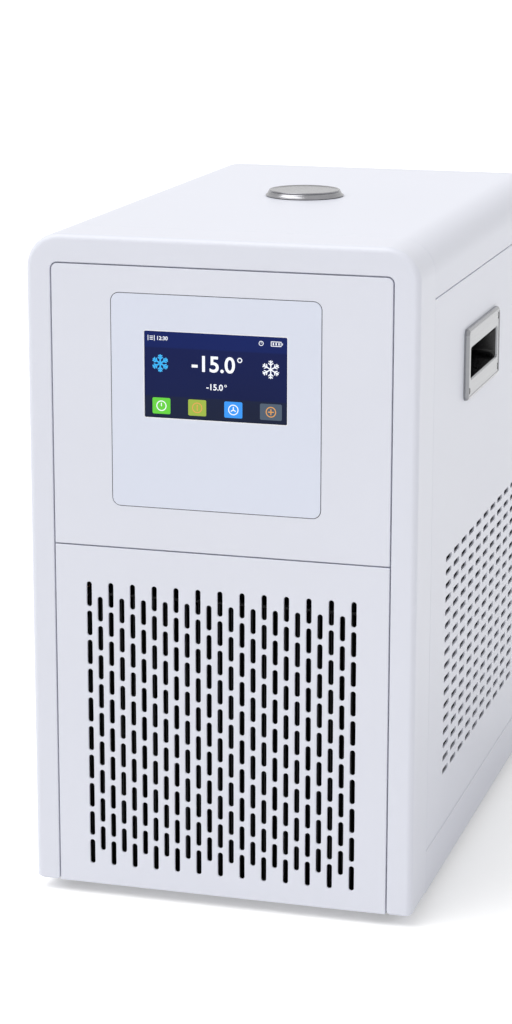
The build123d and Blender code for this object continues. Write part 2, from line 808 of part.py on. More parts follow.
# Strap across the shroud that holds the fan motor
strap_reach = (shroud_hole + shroud_wall) / cos(pi / drum_sides) + strap_thickness
with BuildPart() as fan_bracket:
    with BuildSketch(siding(-strap_width / 2)):
        span(shroud_back, strap_depth, fan_axis_height - strap_reach, fan_axis_height + strap_reach)
        with Locations(((shroud_back + strap_depth - strap_thickness) / 2, fan_axis_height)):
            Rectangle(strap_stand - strap_thickness, 2 * (strap_reach - strap_thickness), mode=Mode.SUBTRACT)
        for low in (fan_axis_height - strap_reach - strap_foot, fan_axis_height + strap_reach):
            span(shroud_back, shroud_back + strap_thickness, low, low + strap_foot)
    extrude(amount=strap_width)
    with BuildSketch(facing(strap_depth)):
        with Locations((0, fan_axis_height)):
            RegularPolygon(shaft_radius + pipe_clearance, pipe_sides, major_radius=False)
    extrude(amount=strap_thickness, mode=Mode.SUBTRACT)

# Fan motor behind the strap, its shaft reaching into the hub
hub_front = condenser_rear + fan_gap
hub_back = hub_front + fan_hub_length
with BuildPart() as fan_motor:
    with BuildSketch(facing(strap_depth + fan_motor_length)):
        with Locations((0, fan_axis_height)):
            RegularPolygon(fan_motor_radius, drum_sides)
    extrude(amount=fan_motor_length)
    with BuildSketch(facing(strap_depth)):
        with Locations((0, fan_axis_height)):
            RegularPolygon(shaft_radius, pipe_sides)
    extrude(amount=strap_depth - hub_front)

# Fan: a bored hub with pitched blades
blade_reach = (fan_radius**2 - (blade_chord / 2) ** 2) ** 0.5
fan_centre = place(0, (hub_front + hub_back) / 2, fan_axis_height)
with BuildPart() as fan_blades:
    with BuildSketch(facing(hub_back)):
        with Locations((0, fan_axis_height)):
            RegularPolygon(fan_hub_radius, drum_sides)
    extrude(amount=fan_hub_length)
    for count in range(fan_blades_count):
        turn = 2 * pi * count / fan_blades_count
        outward = (cos(turn), 0, sin(turn))
        across = (
            -sin(turn) * cos(radians(blade_pitch)),
            sin(radians(blade_pitch)),
            cos(turn) * cos(radians(blade_pitch)),
        )
        with BuildSketch(Plane(origin=fan_centre, x_dir=across, z_dir=outward).offset(fan_hub_radius / 2)):
            Rectangle(blade_chord, blade_thickness)
        extrude(amount=blade_reach - fan_hub_radius / 2)
    with BuildSketch(facing(hub_back)):
        with Locations((0, fan_axis_height)):
            RegularPolygon(shaft_radius + shaft_clearance, pipe_sides, major_radius=False)
    extrude(amount=fan_hub_length, mode=Mode.SUBTRACT)

# Compressor: a shell with sloping ends on a base plate
with BuildPart() as compressor:
    with BuildSketch(level(compressor_low)):
        with Locations((compressor_x, compressor_centre_depth)):
            RegularPolygon(compressor_radius, drum_sides)
    extrude(amount=compressor_shell_height - compressor_end_height)
    with BuildSketch(level(compressor_top - compressor_end_height)):
        with Locations((compressor_x, compressor_centre_depth)):
            RegularPolygon(compressor_radius, drum_sides)
    extrude(amount=compressor_end_height, taper=compressor_end_slope)
    with BuildSketch(level(compressor_base_low)):
        with Locations((compressor_x, compressor_centre_depth)):
            Rectangle(compressor_base_width, compressor_base_length)
    extrude(amount=compressor_base_thickness)

# Rubber mounts under the compressor's base plate
with BuildPart() as compressor_mounts:
    with BuildSketch(level(tray_floor)):
        with Locations((compressor_x, compressor_centre_depth)):
            with GridLocations(compressor_base_width - 2 * mount_inset,
                               compressor_base_length - 2 * mount_inset, 2, 2):
                RegularPolygon(mount_radius, pipe_sides)
    extrude(amount=mount_height)

# Pump motor on its foot
with BuildPart() as pump_motor:
    with BuildSketch(facing(volute_front)):
        with Locations((pump_x, pump_axis_height)):
            RegularPolygon(pump_motor_radius, drum_sides)
    extrude(amount=pump_motor_length)
    with BuildSketch(level(tray_floor)):
        with Locations((pump_x, pump_motor_front + pump_motor_length / 2)):
            Rectangle(pump_foot_width, pump_foot_length)
    extrude(amount=pump_axis_height - tray_floor)
    with BuildSketch(facing(volute_rear - volute_wall - impeller_gap)):
        with Locations((pump_x, pump_axis_height)):
            RegularPolygon(shaft_radius, pipe_sides)
    extrude(amount=volute_length - volute_wall - impeller_gap)

# Pump housing, hollow, with its shaft hole, axial inlet and upward outlet
with BuildPart() as pump_housing:
    with BuildSketch(facing(volute_rear)):
        with Locations((pump_x, pump_axis_height)):
            RegularPolygon(volute_radius, drum_sides)
    extrude(amount=volute_length)
    with BuildSketch(facing(volute_rear - volute_wall)):
        with Locations((pump_x, pump_axis_height)):
            RegularPolygon(volute_radius - volute_wall, drum_sides)
    extrude(amount=volute_length - 2 * volute_wall, mode=Mode.SUBTRACT)
    with BuildSketch(facing(volute_front + volute_wall)):
        with Locations((pump_x, pump_axis_height)):
            RegularPolygon(shaft_radius + pipe_clearance, pipe_sides, major_radius=False)
    extrude(amount=volute_wall, mode=Mode.SUBTRACT)
    with BuildSketch(facing(volute_rear)):
        with Locations((pump_x, pump_axis_height)):
            RegularPolygon(stub_bore, pipe_sides)
    extrude(amount=volute_wall, mode=Mode.SUBTRACT)
    with BuildSketch(level(pump_axis_height + volute_radius - volute_wall / 2)):
        with Locations((pump_x, volute_front + volute_length / 2)):
            RegularPolygon(hose_radius + 2 * pipe_clearance, pipe_sides, rotation=180 / pipe_sides)
    extrude(amount=volute_wall / 2 + volute_wall)
    with BuildSketch(level(pump_axis_height + volute_radius / 2)):
        with Locations((pump_x, volute_front + volute_length / 2)):
            RegularPolygon(stub_bore, pipe_sides)
    extrude(amount=volute_radius / 2 + volute_wall, mode=Mode.SUBTRACT)

# Impeller: a disc with straight vanes, bored for the shaft
impeller_radius = volute_radius - volute_wall - impeller_gap
impeller_front = volute_front + volute_wall + impeller_gap
vane_inner = 2 * shaft_radius
vane_outer = impeller_radius * cos(pi / drum_sides) - impeller_gap / 2
with BuildPart() as pump_impeller:
    with BuildSketch(facing(impeller_front + impeller_disc)):
        with Locations((pump_x, pump_axis_height)):
            RegularPolygon(impeller_radius, drum_sides)
    extrude(amount=impeller_disc)
    with BuildSketch(facing(impeller_front + impeller_disc + vane_height)):
        with Locations((pump_x, pump_axis_height)):
            with PolarLocations((vane_inner + vane_outer) / 2, vane_count):
                Rectangle(vane_outer - vane_inner, vane_thickness)
    extrude(amount=vane_height)
    with BuildSketch(facing(impeller_front + impeller_disc)):
        with Locations((pump_x, pump_axis_height)):
            RegularPolygon(shaft_radius + shaft_clearance, pipe_sides, major_radius=False)
    extrude(amount=impeller_disc, mode=Mode.SUBTRACT)

# Evaporator: a flat serpentine on the tank floor, with both ends out through the rear wall
coil_level = tank_low + tank_wall + coil_floor_gap + coil_radius
coil_front = tank_front + tank_wall + coil_end_gap
coil_back = tank_rear - tank_wall - coil_end_gap
coil_turn = coil_back - coil_pitch
coil_out = insulation_rear + coil_end_gap
serpentine = []
for number in range(coil_passes):
    x = -coil_half + number * coil_pitch
    ends = (coil_turn, coil_front) if number % 2 == 0 else (coil_front, coil_turn)
    serpentine += [(x, depth, coil_level) for depth in ends]
serpentine[0] = (-coil_half, coil_back, coil_level)
serpentine[-1] = (coil_half, coil_back, coil_level)
evaporator_coil = pipe(
    coil_radius,
    (-coil_half, coil_out, coil_rise),
    (-coil_half, coil_back, coil_rise),
    *serpentine,
    (coil_half, coil_back, coil_rise),
    (coil_half, coil_out, coil_rise),
)

# Refrigerant lines
gas_port_height = condenser_top - gas_port_drop
liquid_port_height = skirt_height + 2 * liquid_radius
port_depth = condenser_front + condenser_depth / 2
gas_drop_x = compressor_x - compressor_radius / 2
discharge_line = pipe(
    gas_radius,
    (-condenser_half, port_depth, gas_port_height),
    (-side_run, port_depth, gas_port_height),
    (-side_run, compressor_centre_depth, gas_port_height),
    (gas_drop_x, compressor_centre_depth, gas_port_height),
    (gas_drop_x, compressor_centre_depth, compressor_top),
)
liquid_line = pipe(
    liquid_radius,
    (-condenser_half, port_depth, liquid_port_height),
    (-side_run, port_depth, liquid_port_height),
    (-side_run, drier_depth, liquid_port_height),
    (-side_run, drier_depth, drier_bottom),
)
drier_top = drier_bottom + drier_length
with BuildPart() as filter_drier:
    for radius, neck in ((drier_neck_radius, 0), (drier_radius, drier_neck)):
        with BuildSketch(level(drier_bottom + neck)):
            with Locations((-side_run, drier_depth)):
                RegularPolygon(radius, pipe_sides)
        extrude(amount=drier_length - 2 * neck)
capillary_side = side_run + capillary_offset
capillary_level = drier_top + capillary_rise
capillary_tube = pipe(
    capillary_radius,
    (-side_run, drier_depth, drier_top),
    (-side_run, drier_depth, capillary_level),
    (-capillary_side, drier_depth, capillary_level),
    (-capillary_side, rear_run, capillary_level),
    (-capillary_side, rear_run, coil_rise),
    (-coil_half, rear_run, coil_rise),
    (-coil_half, coil_out, coil_rise),
)
suction_level = compressor_low + suction_share * compressor_shell_height
suction_line = pipe(
    gas_radius,
    (coil_half, coil_out, coil_rise),
    (coil_half, rear_run, coil_rise),
    (coil_half, rear_run, suction_level),
    (compressor_x, rear_run, suction_level),
    (compressor_x, compressor_centre_depth + compressor_radius + joggle_gap, suction_level),
)

# Coolant hoses
tail_end = rear_inner - locknut_thickness - tail_length
hose_back = tail_end - 2 * hose_radius
supply_level = pump_axis_height + volute_radius + hose_rise
feed_hose = pipe(
    hose_radius,
    (feed_x, feed_depth, tank_low + tank_wall),
    (feed_x, feed_depth, pump_axis_height),
    (pump_x, feed_depth, pump_axis_height),
    (pump_x, volute_rear, pump_axis_height),
)
supply_hose = pipe(
    hose_radius,
    (pump_x, volute_front + volute_length / 2, pump_axis_height + volute_radius + volute_wall),
    (pump_x, volute_front + volute_length / 2, supply_level),
    (pump_x, hose_back, supply_level),
    (pump_x, hose_back, outlet_height),
    (pump_x, tail_end, outlet_height),
)
return_hose = pipe(
    hose_radius,
    (fitting_x, tail_end, inlet_height),
    (fitting_x, tank_rear - 2 * hose_radius, inlet_height),
)
drain_hose = pipe(
    drain_hose_radius,
    (drain_x, drain_depth, tank_low + tank_wall),
    (drain_x, drain_depth, drain_height),
    (drain_x, tail_end, drain_height),
)


def threaded_stub(height):
    """Hose connection: tail and locknut inside the rear panel, hexagon and threaded stub outside."""
    with BuildPart() as stub:
        with BuildSketch(facing(casing_depth + rear_reach)):
            with Locations((fitting_x, height)):
                Circle(stub_radius)
        extrude(amount=stub_length)
        with BuildSketch(facing(casing_depth)):
            with Locations((fitting_x, height)):
                RegularPolygon(stub_radius, pipe_sides)
        extrude(amount=sheet + locknut_thickness + tail_length)
        for back, thickness in ((casing_depth + nut_thickness, nut_thickness), (rear_inner, locknut_thickness)):
            with BuildSketch(facing(back)):
                with Locations((fitting_x, height)):
                    RegularPolygon(nut_across / 2, 6, major_radius=False)
            extrude(amount=thickness)
        with BuildSketch(facing(casing_depth + rear_reach)):
            with Locations((fitting_x, height)):
                RegularPolygon(stub_bore, pipe_sides)
        extrude(amount=rear_reach + sheet + locknut_thickness + tail_length, mode=Mode.SUBTRACT)
    return stub


outlet_fitting = threaded_stub(outlet_height)
inlet_fitting = threaded_stub(inlet_height)

# Drain valve: hexagonal body, spout, and the socket of the lever's stem
valve_top = drain_height + valve_across / 2
stem_place = casing_depth + valve_length / 2
with BuildPart() as drain_valve:
    with BuildSketch(facing(casing_depth + rear_reach)):
        with Locations((drain_x, drain_height)):
            Circle(spout_radius)
    extrude(amount=rear_reach - valve_length)
    with BuildSketch(facing(casing_depth)):
        with Locations((drain_x, drain_height)):
            RegularPolygon(spout_radius, pipe_sides)
    extrude(amount=sheet + locknut_thickness + tail_length)
    for back, thickness in ((casing_depth + valve_length, valve_length), (rear_inner, locknut_thickness)):
        with BuildSketch(facing(back)):
            with Locations((drain_x, drain_height)):
                RegularPolygon(valve_across / 2, 6, major_radius=False)
        extrude(amount=thickness)
    with BuildSketch(facing(casing_depth + rear_reach)):
        with Locations((drain_x, drain_height)):
            RegularPolygon(spout_bore, pipe_sides)
    extrude(amount=rear_reach - valve_length + stem_radius, mode=Mode.SUBTRACT)
    with BuildSketch(level(valve_top - stem_depth)):
        with Locations((drain_x, stem_place)):
            RegularPolygon(stem_radius + shaft_clearance, pipe_sides, major_radius=False)
    extrude(amount=stem_depth, mode=Mode.SUBTRACT)

# Drain lever, closed: across the spout
with BuildPart() as drain_lever:
    with BuildSketch(level(valve_top + lever_gap)):
        with Locations((drain_x + lever_length / 2 - lever_width / 2, stem_place)):
            Rectangle(lever_length, lever_width)
    extrude(amount=lever_thickness)
    with BuildSketch(level(valve_top - stem_depth + lever_gap)):
        with Locations((drain_x, stem_place)):
            RegularPolygon(stem_radius, pipe_sides)
    extrude(amount=stem_depth)

# Mains inlet with its three pins
socket_front = casing_depth + socket_flange
with BuildPart() as mains_inlet:
    with BuildSketch(facing(socket_front)):
        with Locations((inlet_x, socket_height)):
            Rectangle(socket_flange_width, socket_flange_height)
    extrude(amount=socket_flange)
    with BuildSketch(facing(casing_depth)):
        with Locations((inlet_x, socket_height)):
            Rectangle(socket_body_width, socket_body_height)
    extrude(amount=socket_body_depth)
    with BuildSketch(facing(socket_front)) as cavity:
        with Locations((inlet_x, socket_height)):
            Rectangle(socket_cavity_width, socket_cavity_height)
        chamfer(cavity.vertices().group_by(Axis.Y)[-1], socket_cavity_chamfer)
    extrude(amount=socket_cavity_depth, mode=Mode.SUBTRACT)
    with BuildSketch(facing(socket_front - socket_cavity_depth + socket_pin_length)):
        with Locations(
            (inlet_x - socket_pin_pitch, socket_height - socket_pin_drop),
            (inlet_x, socket_height + socket_pin_drop),
            (inlet_x + socket_pin_pitch, socket_height - socket_pin_drop),
        ):
            Rectangle(socket_pin_width, socket_pin_height)
    extrude(amount=socket_pin_length)

# Switch: a frame with a pocket for the rocker
switch_front = casing_depth + switch_flange
with BuildPart() as switch_frame:
    with BuildSketch(facing(switch_front)):
        with Locations((inlet_x, switch_height)):
            Rectangle(switch_flange_width, switch_flange_height)
    extrude(amount=switch_flange)
    with BuildSketch(facing(casing_depth)):
        with Locations((inlet_x, switch_height)):
            Rectangle(switch_body_width, switch_body_height)
    extrude(amount=switch_body_depth)
    with BuildSketch(facing(switch_front)):
        with Locations((inlet_x, switch_height)):
            Rectangle(switch_body_width - 2 * switch_wall, switch_body_height - 2 * switch_wall)
    extrude(amount=switch_flange + switch_body_depth / 2, mode=Mode.SUBTRACT)

# Rocker, tilted to its off position about an axis across the switch
rocker_axis_depth = switch_front
with BuildPart() as power_rocker:
    with BuildSketch(Plane(
        origin=place(inlet_x - rocker_width / 2, rocker_axis_depth, switch_height),
        x_dir=(0, cos(radians(rocker_tilt)), sin(radians(rocker_tilt))),
        z_dir=(1, 0, 0),
    )):
        with BuildLine():
            Polyline(
                (rocker_horn, -rocker_half_length),
                (rocker_valley, 0),
                (rocker_horn, rocker_half_length),
                (-rocker_back, 0.7 * rocker_half_length),
                (-rocker_back, -0.7 * rocker_half_length),
                close=True,
            )
        make_face()
    extrude(amount=rocker_width)

# Electrical box, open towards the display, and what it holds
with BuildPart() as electrical_box:
    with BuildSketch(facing(box_rear)):
        span(-box_half_width, box_half_width, box_low, box_top)
    extrude(amount=box_depth)
    with BuildSketch(facing(box_rear - box_sheet)):
        span(box_sheet - box_half_width, box_half_width - box_sheet,
             box_low + box_sheet, box_top - box_sheet)
    extrude(amount=box_depth, mode=Mode.SUBTRACT)
box_floor = box_low + box_sheet
box_ceiling = box_top - box_sheet
with BuildPart() as power_supply:
    with BuildSketch(facing(box_rear - box_sheet)):
        span(box_sheet + supply_side_gap - box_half_width, -electrics_gap,
             box_floor, box_ceiling - supply_head_gap)
    extrude(amount=supply_length)
relay_board_end = box_half_width - box_sheet - relay_side_gap
relay_board_top = box_ceiling - relay_head_gap
relay_count = int((relay_board_top - box_floor) / relay_pitch)
with BuildPart() as relay_board:
    with BuildSketch(facing(box_rear - box_sheet)):
        span(electrics_gap, relay_board_end, box_floor, relay_board_top)
    extrude(amount=board_thickness)
    with BuildSketch(facing(box_rear - box_sheet - board_thickness)):
        with Locations(((electrics_gap + relay_board_end) / 2, (box_floor + relay_board_top) / 2)):
            with GridLocations(0, relay_pitch, 1, relay_count):
                Rectangle(relay_size, relay_size)
    extrude(amount=relay_size)

# Mains cable inside the casing, from the switch to the electrical box
cable_back = rear_run + 2 * gas_radius
mains_cable = pipe(
    cable_radius,
    (inlet_x, casing_depth - switch_body_depth, switch_height),
    (inlet_x, cable_back, switch_height),
    (inlet_x, cable_back, cable_height),
    (cable_x, cable_back, cable_height),
    (cable_x, box_rear, cable_height),
)

pieces = {
    "base_tray": base_tray,
    "rubber_feet": rubber_feet,
    "front_frame": front_frame,
    "upper_front_panel": upper_front_panel,
    "display_overlay": display_overlay,
    "display_screen": display_screen,
    "controller_board": controller_board,
    "front_grille": front_grille,
    "top_cover": top_cover,
    "side_panel_right": side_panel_right,
    "side_panel_left": side_panel_left,
    "handle_right": handle_right,
    "handle_left": handle_left,
    "rear_panel": rear_panel,
    "filler_cap": filler_cap,
    "cap_seal": cap_seal,
    "reservoir_tank": reservoir_tank,
    "tank_insulation": tank_insulation,
    "tank_lid": tank_lid,
    "temperature_probe": temperature_probe,
    "reservoir_shelf": reservoir_shelf,
    "condenser": condenser,
    "fan_shroud": fan_shroud,
    "fan_bracket": fan_bracket,
    "fan_motor": fan_motor,
    "fan_blades": fan_blades,
    "compressor": compressor,
    "compressor_mounts": compressor_mounts,
    "pump_motor": pump_motor,
    "pump_housing": pump_housing,
    "pump_impeller": pump_impeller,
    "evaporator_coil": evaporator_coil,
    "discharge_line": discharge_line,
    "liquid_line": liquid_line,
    "filter_drier": filter_drier,
    "capillary_tube": capillary_tube,
    "suction_line": suction_line,
    "feed_hose": feed_hose,
    "supply_hose": supply_hose,
    "return_hose": return_hose,
    "drain_hose": drain_hose,
    "outlet_fitting": outlet_fitting,
    "inlet_fitting": inlet_fitting,
    "drain_valve": drain_valve,
    "drain_lever": drain_lever,
    "mains_inlet": mains_inlet,
    "switch_frame": switch_frame,
    "power_rocker": power_rocker,
    "electrical_box": electrical_box,
    "power_supply": power_supply,
    "relay_board": relay_board,
    "mains_cable": mains_cable,
}
for name, piece in pieces.items():
    piece.part.label = name
    export_step(piece.part, f"parts/{name}.step")
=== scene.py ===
import json
import math

import bmesh
import bpy
from mathutils import Matrix, Vector

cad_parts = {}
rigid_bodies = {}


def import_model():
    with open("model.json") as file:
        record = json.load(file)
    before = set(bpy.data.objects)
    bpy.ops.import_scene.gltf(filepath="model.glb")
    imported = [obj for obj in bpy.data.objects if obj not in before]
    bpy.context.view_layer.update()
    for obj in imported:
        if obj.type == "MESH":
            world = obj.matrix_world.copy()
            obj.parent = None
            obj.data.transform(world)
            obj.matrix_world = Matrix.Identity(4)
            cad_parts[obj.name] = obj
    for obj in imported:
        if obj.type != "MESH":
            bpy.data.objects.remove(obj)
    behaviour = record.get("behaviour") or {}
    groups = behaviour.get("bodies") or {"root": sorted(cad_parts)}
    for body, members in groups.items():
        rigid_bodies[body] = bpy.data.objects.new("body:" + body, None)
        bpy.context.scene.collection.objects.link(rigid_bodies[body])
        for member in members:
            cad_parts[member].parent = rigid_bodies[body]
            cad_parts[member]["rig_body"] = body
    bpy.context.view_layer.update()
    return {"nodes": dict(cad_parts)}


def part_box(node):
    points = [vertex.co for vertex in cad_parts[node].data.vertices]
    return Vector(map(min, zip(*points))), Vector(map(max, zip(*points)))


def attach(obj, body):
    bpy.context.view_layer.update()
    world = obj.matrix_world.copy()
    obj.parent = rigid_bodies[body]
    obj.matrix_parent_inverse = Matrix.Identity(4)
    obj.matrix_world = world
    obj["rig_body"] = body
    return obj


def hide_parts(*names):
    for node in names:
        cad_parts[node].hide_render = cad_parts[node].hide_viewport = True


# Recirculating chiller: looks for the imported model. Sizes are in millimetres and are turned into metres by at().

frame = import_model()
nodes = frame["nodes"]
scene = bpy.context.scene
mm = 0.001


def report(stage):
    print("stage:", stage, flush=True)


# The machine's own measures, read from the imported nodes. Depth counts from the front face, height from the
# casing's bottom edge.
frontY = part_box("front_frame")[0].y / mm
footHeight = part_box("front_frame")[0].z / mm
shift = Vector((0, frontY, footHeight))


def extent(node):
    low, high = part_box(node)
    return low / mm - shift, high / mm - shift


def frameBody(node):
    return nodes[node]["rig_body"]


def at(across, depth, height):
    return (Vector((across, depth, height)) + shift) * mm


halfWidth = extent("front_frame")[1].x
casingHeight = extent("front_frame")[1].z
casingDepth = extent("rear_panel")[1].y
panelGap = 1.0
sheet = 1.5


# Mesh helpers
def outline(width, height, radius, centre=(0, 0), steps=8):
    points = []
    signs = ((1, -1), (1, 1), (-1, 1), (-1, -1))
    for corner, (signU, signV) in enumerate(signs):
        bend = radius[corner] if isinstance(radius, tuple) else radius
        middleU = centre[0] + signU * (width / 2 - bend)
        middleV = centre[1] + signV * (height / 2 - bend)
        for step in range(steps + 1):
            angle = math.radians(90 * (corner - 1 + step / steps))
            points.append((middleU + bend * math.cos(angle), middleV + bend * math.sin(angle)))
    return points


def circle(radius, centre=(0, 0), steps=48, sides=0):
    points = []
    for step in range(steps):
        angle = 2 * math.pi * step / steps
        reach = radius
        if sides:
            wedge = 2 * math.pi / sides
            reach = radius / math.cos((angle + wedge / 2) % wedge - wedge / 2)
        points.append((centre[0] + reach * math.cos(angle), centre[1] + reach * math.sin(angle)))
    return points


def rounding(radius, steps=4):
    # Pairs of inset and drop along a quarter round, from the side of a plate to its face
    angles = [math.radians(90 * step / steps) for step in range(steps + 1)]
    return [(radius * (1 - math.cos(angle)), radius * (1 - math.sin(angle))) for angle in angles]


def ringEdges(bm, verts):
    # Edges that close a ring of vertices, made where they are missing
    return [bm.edges.get(pair) or bm.edges.new(pair) for pair in zip(verts, verts[1:] + verts[:1])]


def ring(bm, points):
    verts = [bm.verts.new(point) for point in points]
    ringEdges(bm, verts)
    return verts


def skin(bm, rings, laced=False):
    # Faces between neighbouring rings: bridged, or laced vertex by vertex where their shapes differ
    faces = []
    for first, second in zip(rings, rings[1:]):
        if laced:
            ends = zip(first, first[1:] + first[:1], second[1:] + second[:1], second)
            faces += [bm.faces.new(quad) for quad in ends]
        else:
            faces += bmesh.ops.bridge_loops(bm, edges=ringEdges(bm, first) + ringEdges(bm, second))["faces"]
    return faces


def painted(faces):
    # The second material of a piece
    for face in faces:
        face.material_index = 1


def pane(bm, *loops):
    # Flat face between one outer loop and the holes in it
    edges = [edge for verts in loops for edge in ringEdges(bm, verts)]
    bmesh.ops.triangle_fill(bm, use_beauty=True, edges=edges)


def turned(bm, profile, centre, base=0.0, steps=64):
    # Body of revolution about an upright axis: profile is pairs of radius and height
    verts = [bm.verts.new(at(centre[0] + radius, centre[1], base + height)) for radius, height in profile]
    edges = [bm.edges.new(pair) for pair in zip(verts, verts[1:])]
    bmesh.ops.spin(bm, geom=verts + edges, cent=at(*centre, 0), axis=(0, 0, 1), angle=2 * math.pi, steps=steps,
                   use_merge=True)


def finished(bm, name, materials, body="chassis", replaces=(), sharp=35):
    bmesh.ops.remove_doubles(bm, verts=bm.verts, dist=0.002 * mm)
    bmesh.ops.recalc_face_normals(bm, faces=bm.faces)
    mesh = bpy.data.meshes.new(name)
    bm.to_mesh(mesh)
    bm.free()
    mesh.shade_smooth()
    mesh.set_sharp_from_angle(angle=math.radians(sharp))
    for material in materials if isinstance(materials, list) else [materials]:
        mesh.materials.append(material)
    made = bpy.data.objects.new(name, mesh)
    scene.collection.objects.link(made)
    weighted = made.modifiers.new("weighted", "WEIGHTED_NORMAL")
    weighted.keep_sharp = True
    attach(made, body)
    if replaces:
        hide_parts(*replaces)
    return made


def softened(node, material, edge, body="chassis", steps=2, bend=30):
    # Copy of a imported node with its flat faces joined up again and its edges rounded
    bm = bmesh.new()
    bm.from_mesh(nodes[node].data)
    bmesh.ops.remove_doubles(bm, verts=bm.verts, dist=0.005 * mm)
    bmesh.ops.dissolve_limit(bm, angle_limit=math.radians(1), verts=bm.verts, edges=bm.edges)
    corners = [e for e in bm.edges if e.is_manifold and e.calc_face_angle() > math.radians(bend)]
    bmesh.ops.bevel(bm, geom=corners, offset=edge * mm, segments=steps, profile=0.5, affect="EDGES",
                    clamp_overlap=True)
    return finished(bm, node + "_finished", material, body, [node])


# Shader helpers
class Signal:
    # A shader socket that plain arithmetic can be done with
    def __init__(self, tree, socket):
        self.tree = tree
        self.socket = socket

    def maths(self, operation, *others, clamp=False):
        node = self.tree.nodes.new("ShaderNodeMath")
        node.operation = operation
        node.use_clamp = clamp
        for value, socket in zip((self,) + others, node.inputs):
            if isinstance(value, Signal):
                self.tree.links.new(value.socket, socket)
            else:
                socket.default_value = value
        return Signal(self.tree, node.outputs[0])

    def __add__(self, other):
        return self.maths("ADD", other)

    def __sub__(self, other):
        return self.maths("SUBTRACT", other)

    def __mul__(self, other):
        return self.maths("MULTIPLY", other)

    def __rsub__(self, other):
        return (self * -1) + other

    def __truediv__(self, other):
        return self.maths("DIVIDE", other)

    __radd__ = __add__
    __rmul__ = __mul__

    def power(self, other):
        return self.maths("POWER", other)

    def between(self, low, high, newLow=0.0, newHigh=1.0):
        node = self.tree.nodes.new("ShaderNodeMapRange")
        node.interpolation_type = "SMOOTHSTEP"
        self.tree.links.new(self.socket, node.inputs["Value"])
        for name, value in (("From Min", low), ("From Max", high), ("To Min", newLow), ("To Max", newHigh)):
            node.inputs[name].default_value = value
        return Signal(self.tree, node.outputs["Result"])


class Finish:
    # A material with one principled surface
    def __init__(self, name, colour, roughness, **more):
        self.material = bpy.data.materials.new(name)
        self.material.use_nodes = True
        self.tree = self.material.node_tree
        self.surface = self.tree.nodes["Principled BSDF"]
        self.colour = (*colour, 1)
        self.plug("Base Color", self.colour)
        self.plug("Roughness", roughness)
        for name, value in more.items():
            self.plug(name, value)

    def plug(self, name, value, node=None):
        socket = (node or self.surface).inputs[name]
        if isinstance(value, Signal):
            self.tree.links.new(value.socket, socket)
        else:
            socket.default_value = value

    def node(self, kind, output=0, settings=(), **inputs):
        made = self.tree.nodes.new("ShaderNode" + kind)
        for name, value in dict(settings).items():
            setattr(made, name, value)
        for name, value in inputs.items():
            self.plug(int(name[1:]) if name[0] == "_" else name, value, made)
        return Signal(self.tree, made.outputs[output])

    def place(self):
        return self.node("TexCoord", "Object")

    def axes(self):
        split = self.tree.nodes.new("ShaderNodeSeparateXYZ")
        self.tree.links.new(self.place().socket, split.inputs[0])
        return [Signal(self.tree, output) for output in split.outputs]

    def point(self, x, y, z):
        return self.node("CombineXYZ", X=x, Y=y, Z=z)

    def noise(self, scale, detail=2.0, stretch=None, vector=None):
        vector = vector or self.place()
        if stretch:
            vector = self.node("Mapping", Vector=vector, Scale=stretch)
        return self.node("TexNoise", Vector=vector, Scale=scale, Detail=detail)

    def shade(self, amount, low, high):
        # Base colour made darker or lighter by the amount's share between low and high
        tint = self.node("Mix", 2, {"data_type": "RGBA"}, Factor=amount, _6=self.mixed(low), _7=self.mixed(high))
        self.plug("Base Color", tint)

    def mixed(self, share):
        return (*[min(1.0, part * share) for part in self.colour[:3]], 1)

    def bump(self, height, depth, strength):
        self.plug("Normal", self.node("Bump", Height=height, Distance=depth * mm, Strength=strength))


def powderCoat(name, colour, grain, roughness):
    # Baked powder paint: fine orange peel, a touch of mottling, slightly uneven sheen
    finish = Finish(name, colour, roughness)
    peel = finish.noise(grain, 2.0)
    fine = finish.noise(grain * 3.7, 1.0)
    finish.bump(peel * 0.75 + fine * 0.25, 0.05, 0.35)
    mottle = finish.noise(9.0, 3.0)
    finish.shade(mottle, 0.985, 1.015)
    finish.plug("Roughness", (mottle * 0.06 + peel * 0.05) + (roughness - 0.055))
    return finish.material


def brushed(name, colour, stretch, roughness, depth=0.02):
    # Drawn stainless steel: lines along one direction
    finish = Finish(name, colour, roughness, Metallic=1.0)
    lines = finish.noise(60.0, 4.0, stretch)
    broad = finish.noise(14.0, 2.0, stretch)
    finish.shade(lines * 0.6 + broad * 0.4, 0.86, 1.1)
    finish.plug("Roughness", lines * 0.16 + (roughness - 0.08))
    finish.bump(lines, depth, 0.5)
    return finish.material


def turnedSteel(name, colour, centre, roughness):
    # Steel finished on a lathe: lines run round the centre and change a little with the angle; the broad streaks in
    # the base colour are partly tone of the turning and partly painted reflection
    finish = Finish(name, colour, roughness, Metallic=1.0)
    x, y, z = finish.axes()
    x, y = x - centre.x, y - centre.y
    radius = (x * x + y * y).power(0.5)
    angle = y.maths("ARCTAN2", x)
    rounds = finish.noise(1.0, 3.0, vector=finish.point(radius * 2600.0, angle * 1.3, z * 2600.0))
    streakToneAndReflection = finish.noise(1.0, 3.0, vector=finish.point(radius * 70.0, angle * 2.6, z * 420.0))
    # Painted reflection: the broad streaks are made strong in the base colour, on top of the tone of the turning
    finish.shade(rounds * 0.35 + streakToneAndReflection * 0.65, 0.62, 1.25)
    finish.plug("Roughness", rounds * 0.14 + (roughness - 0.07))
    finish.bump(rounds, 0.012, 0.5)
    return finish.material


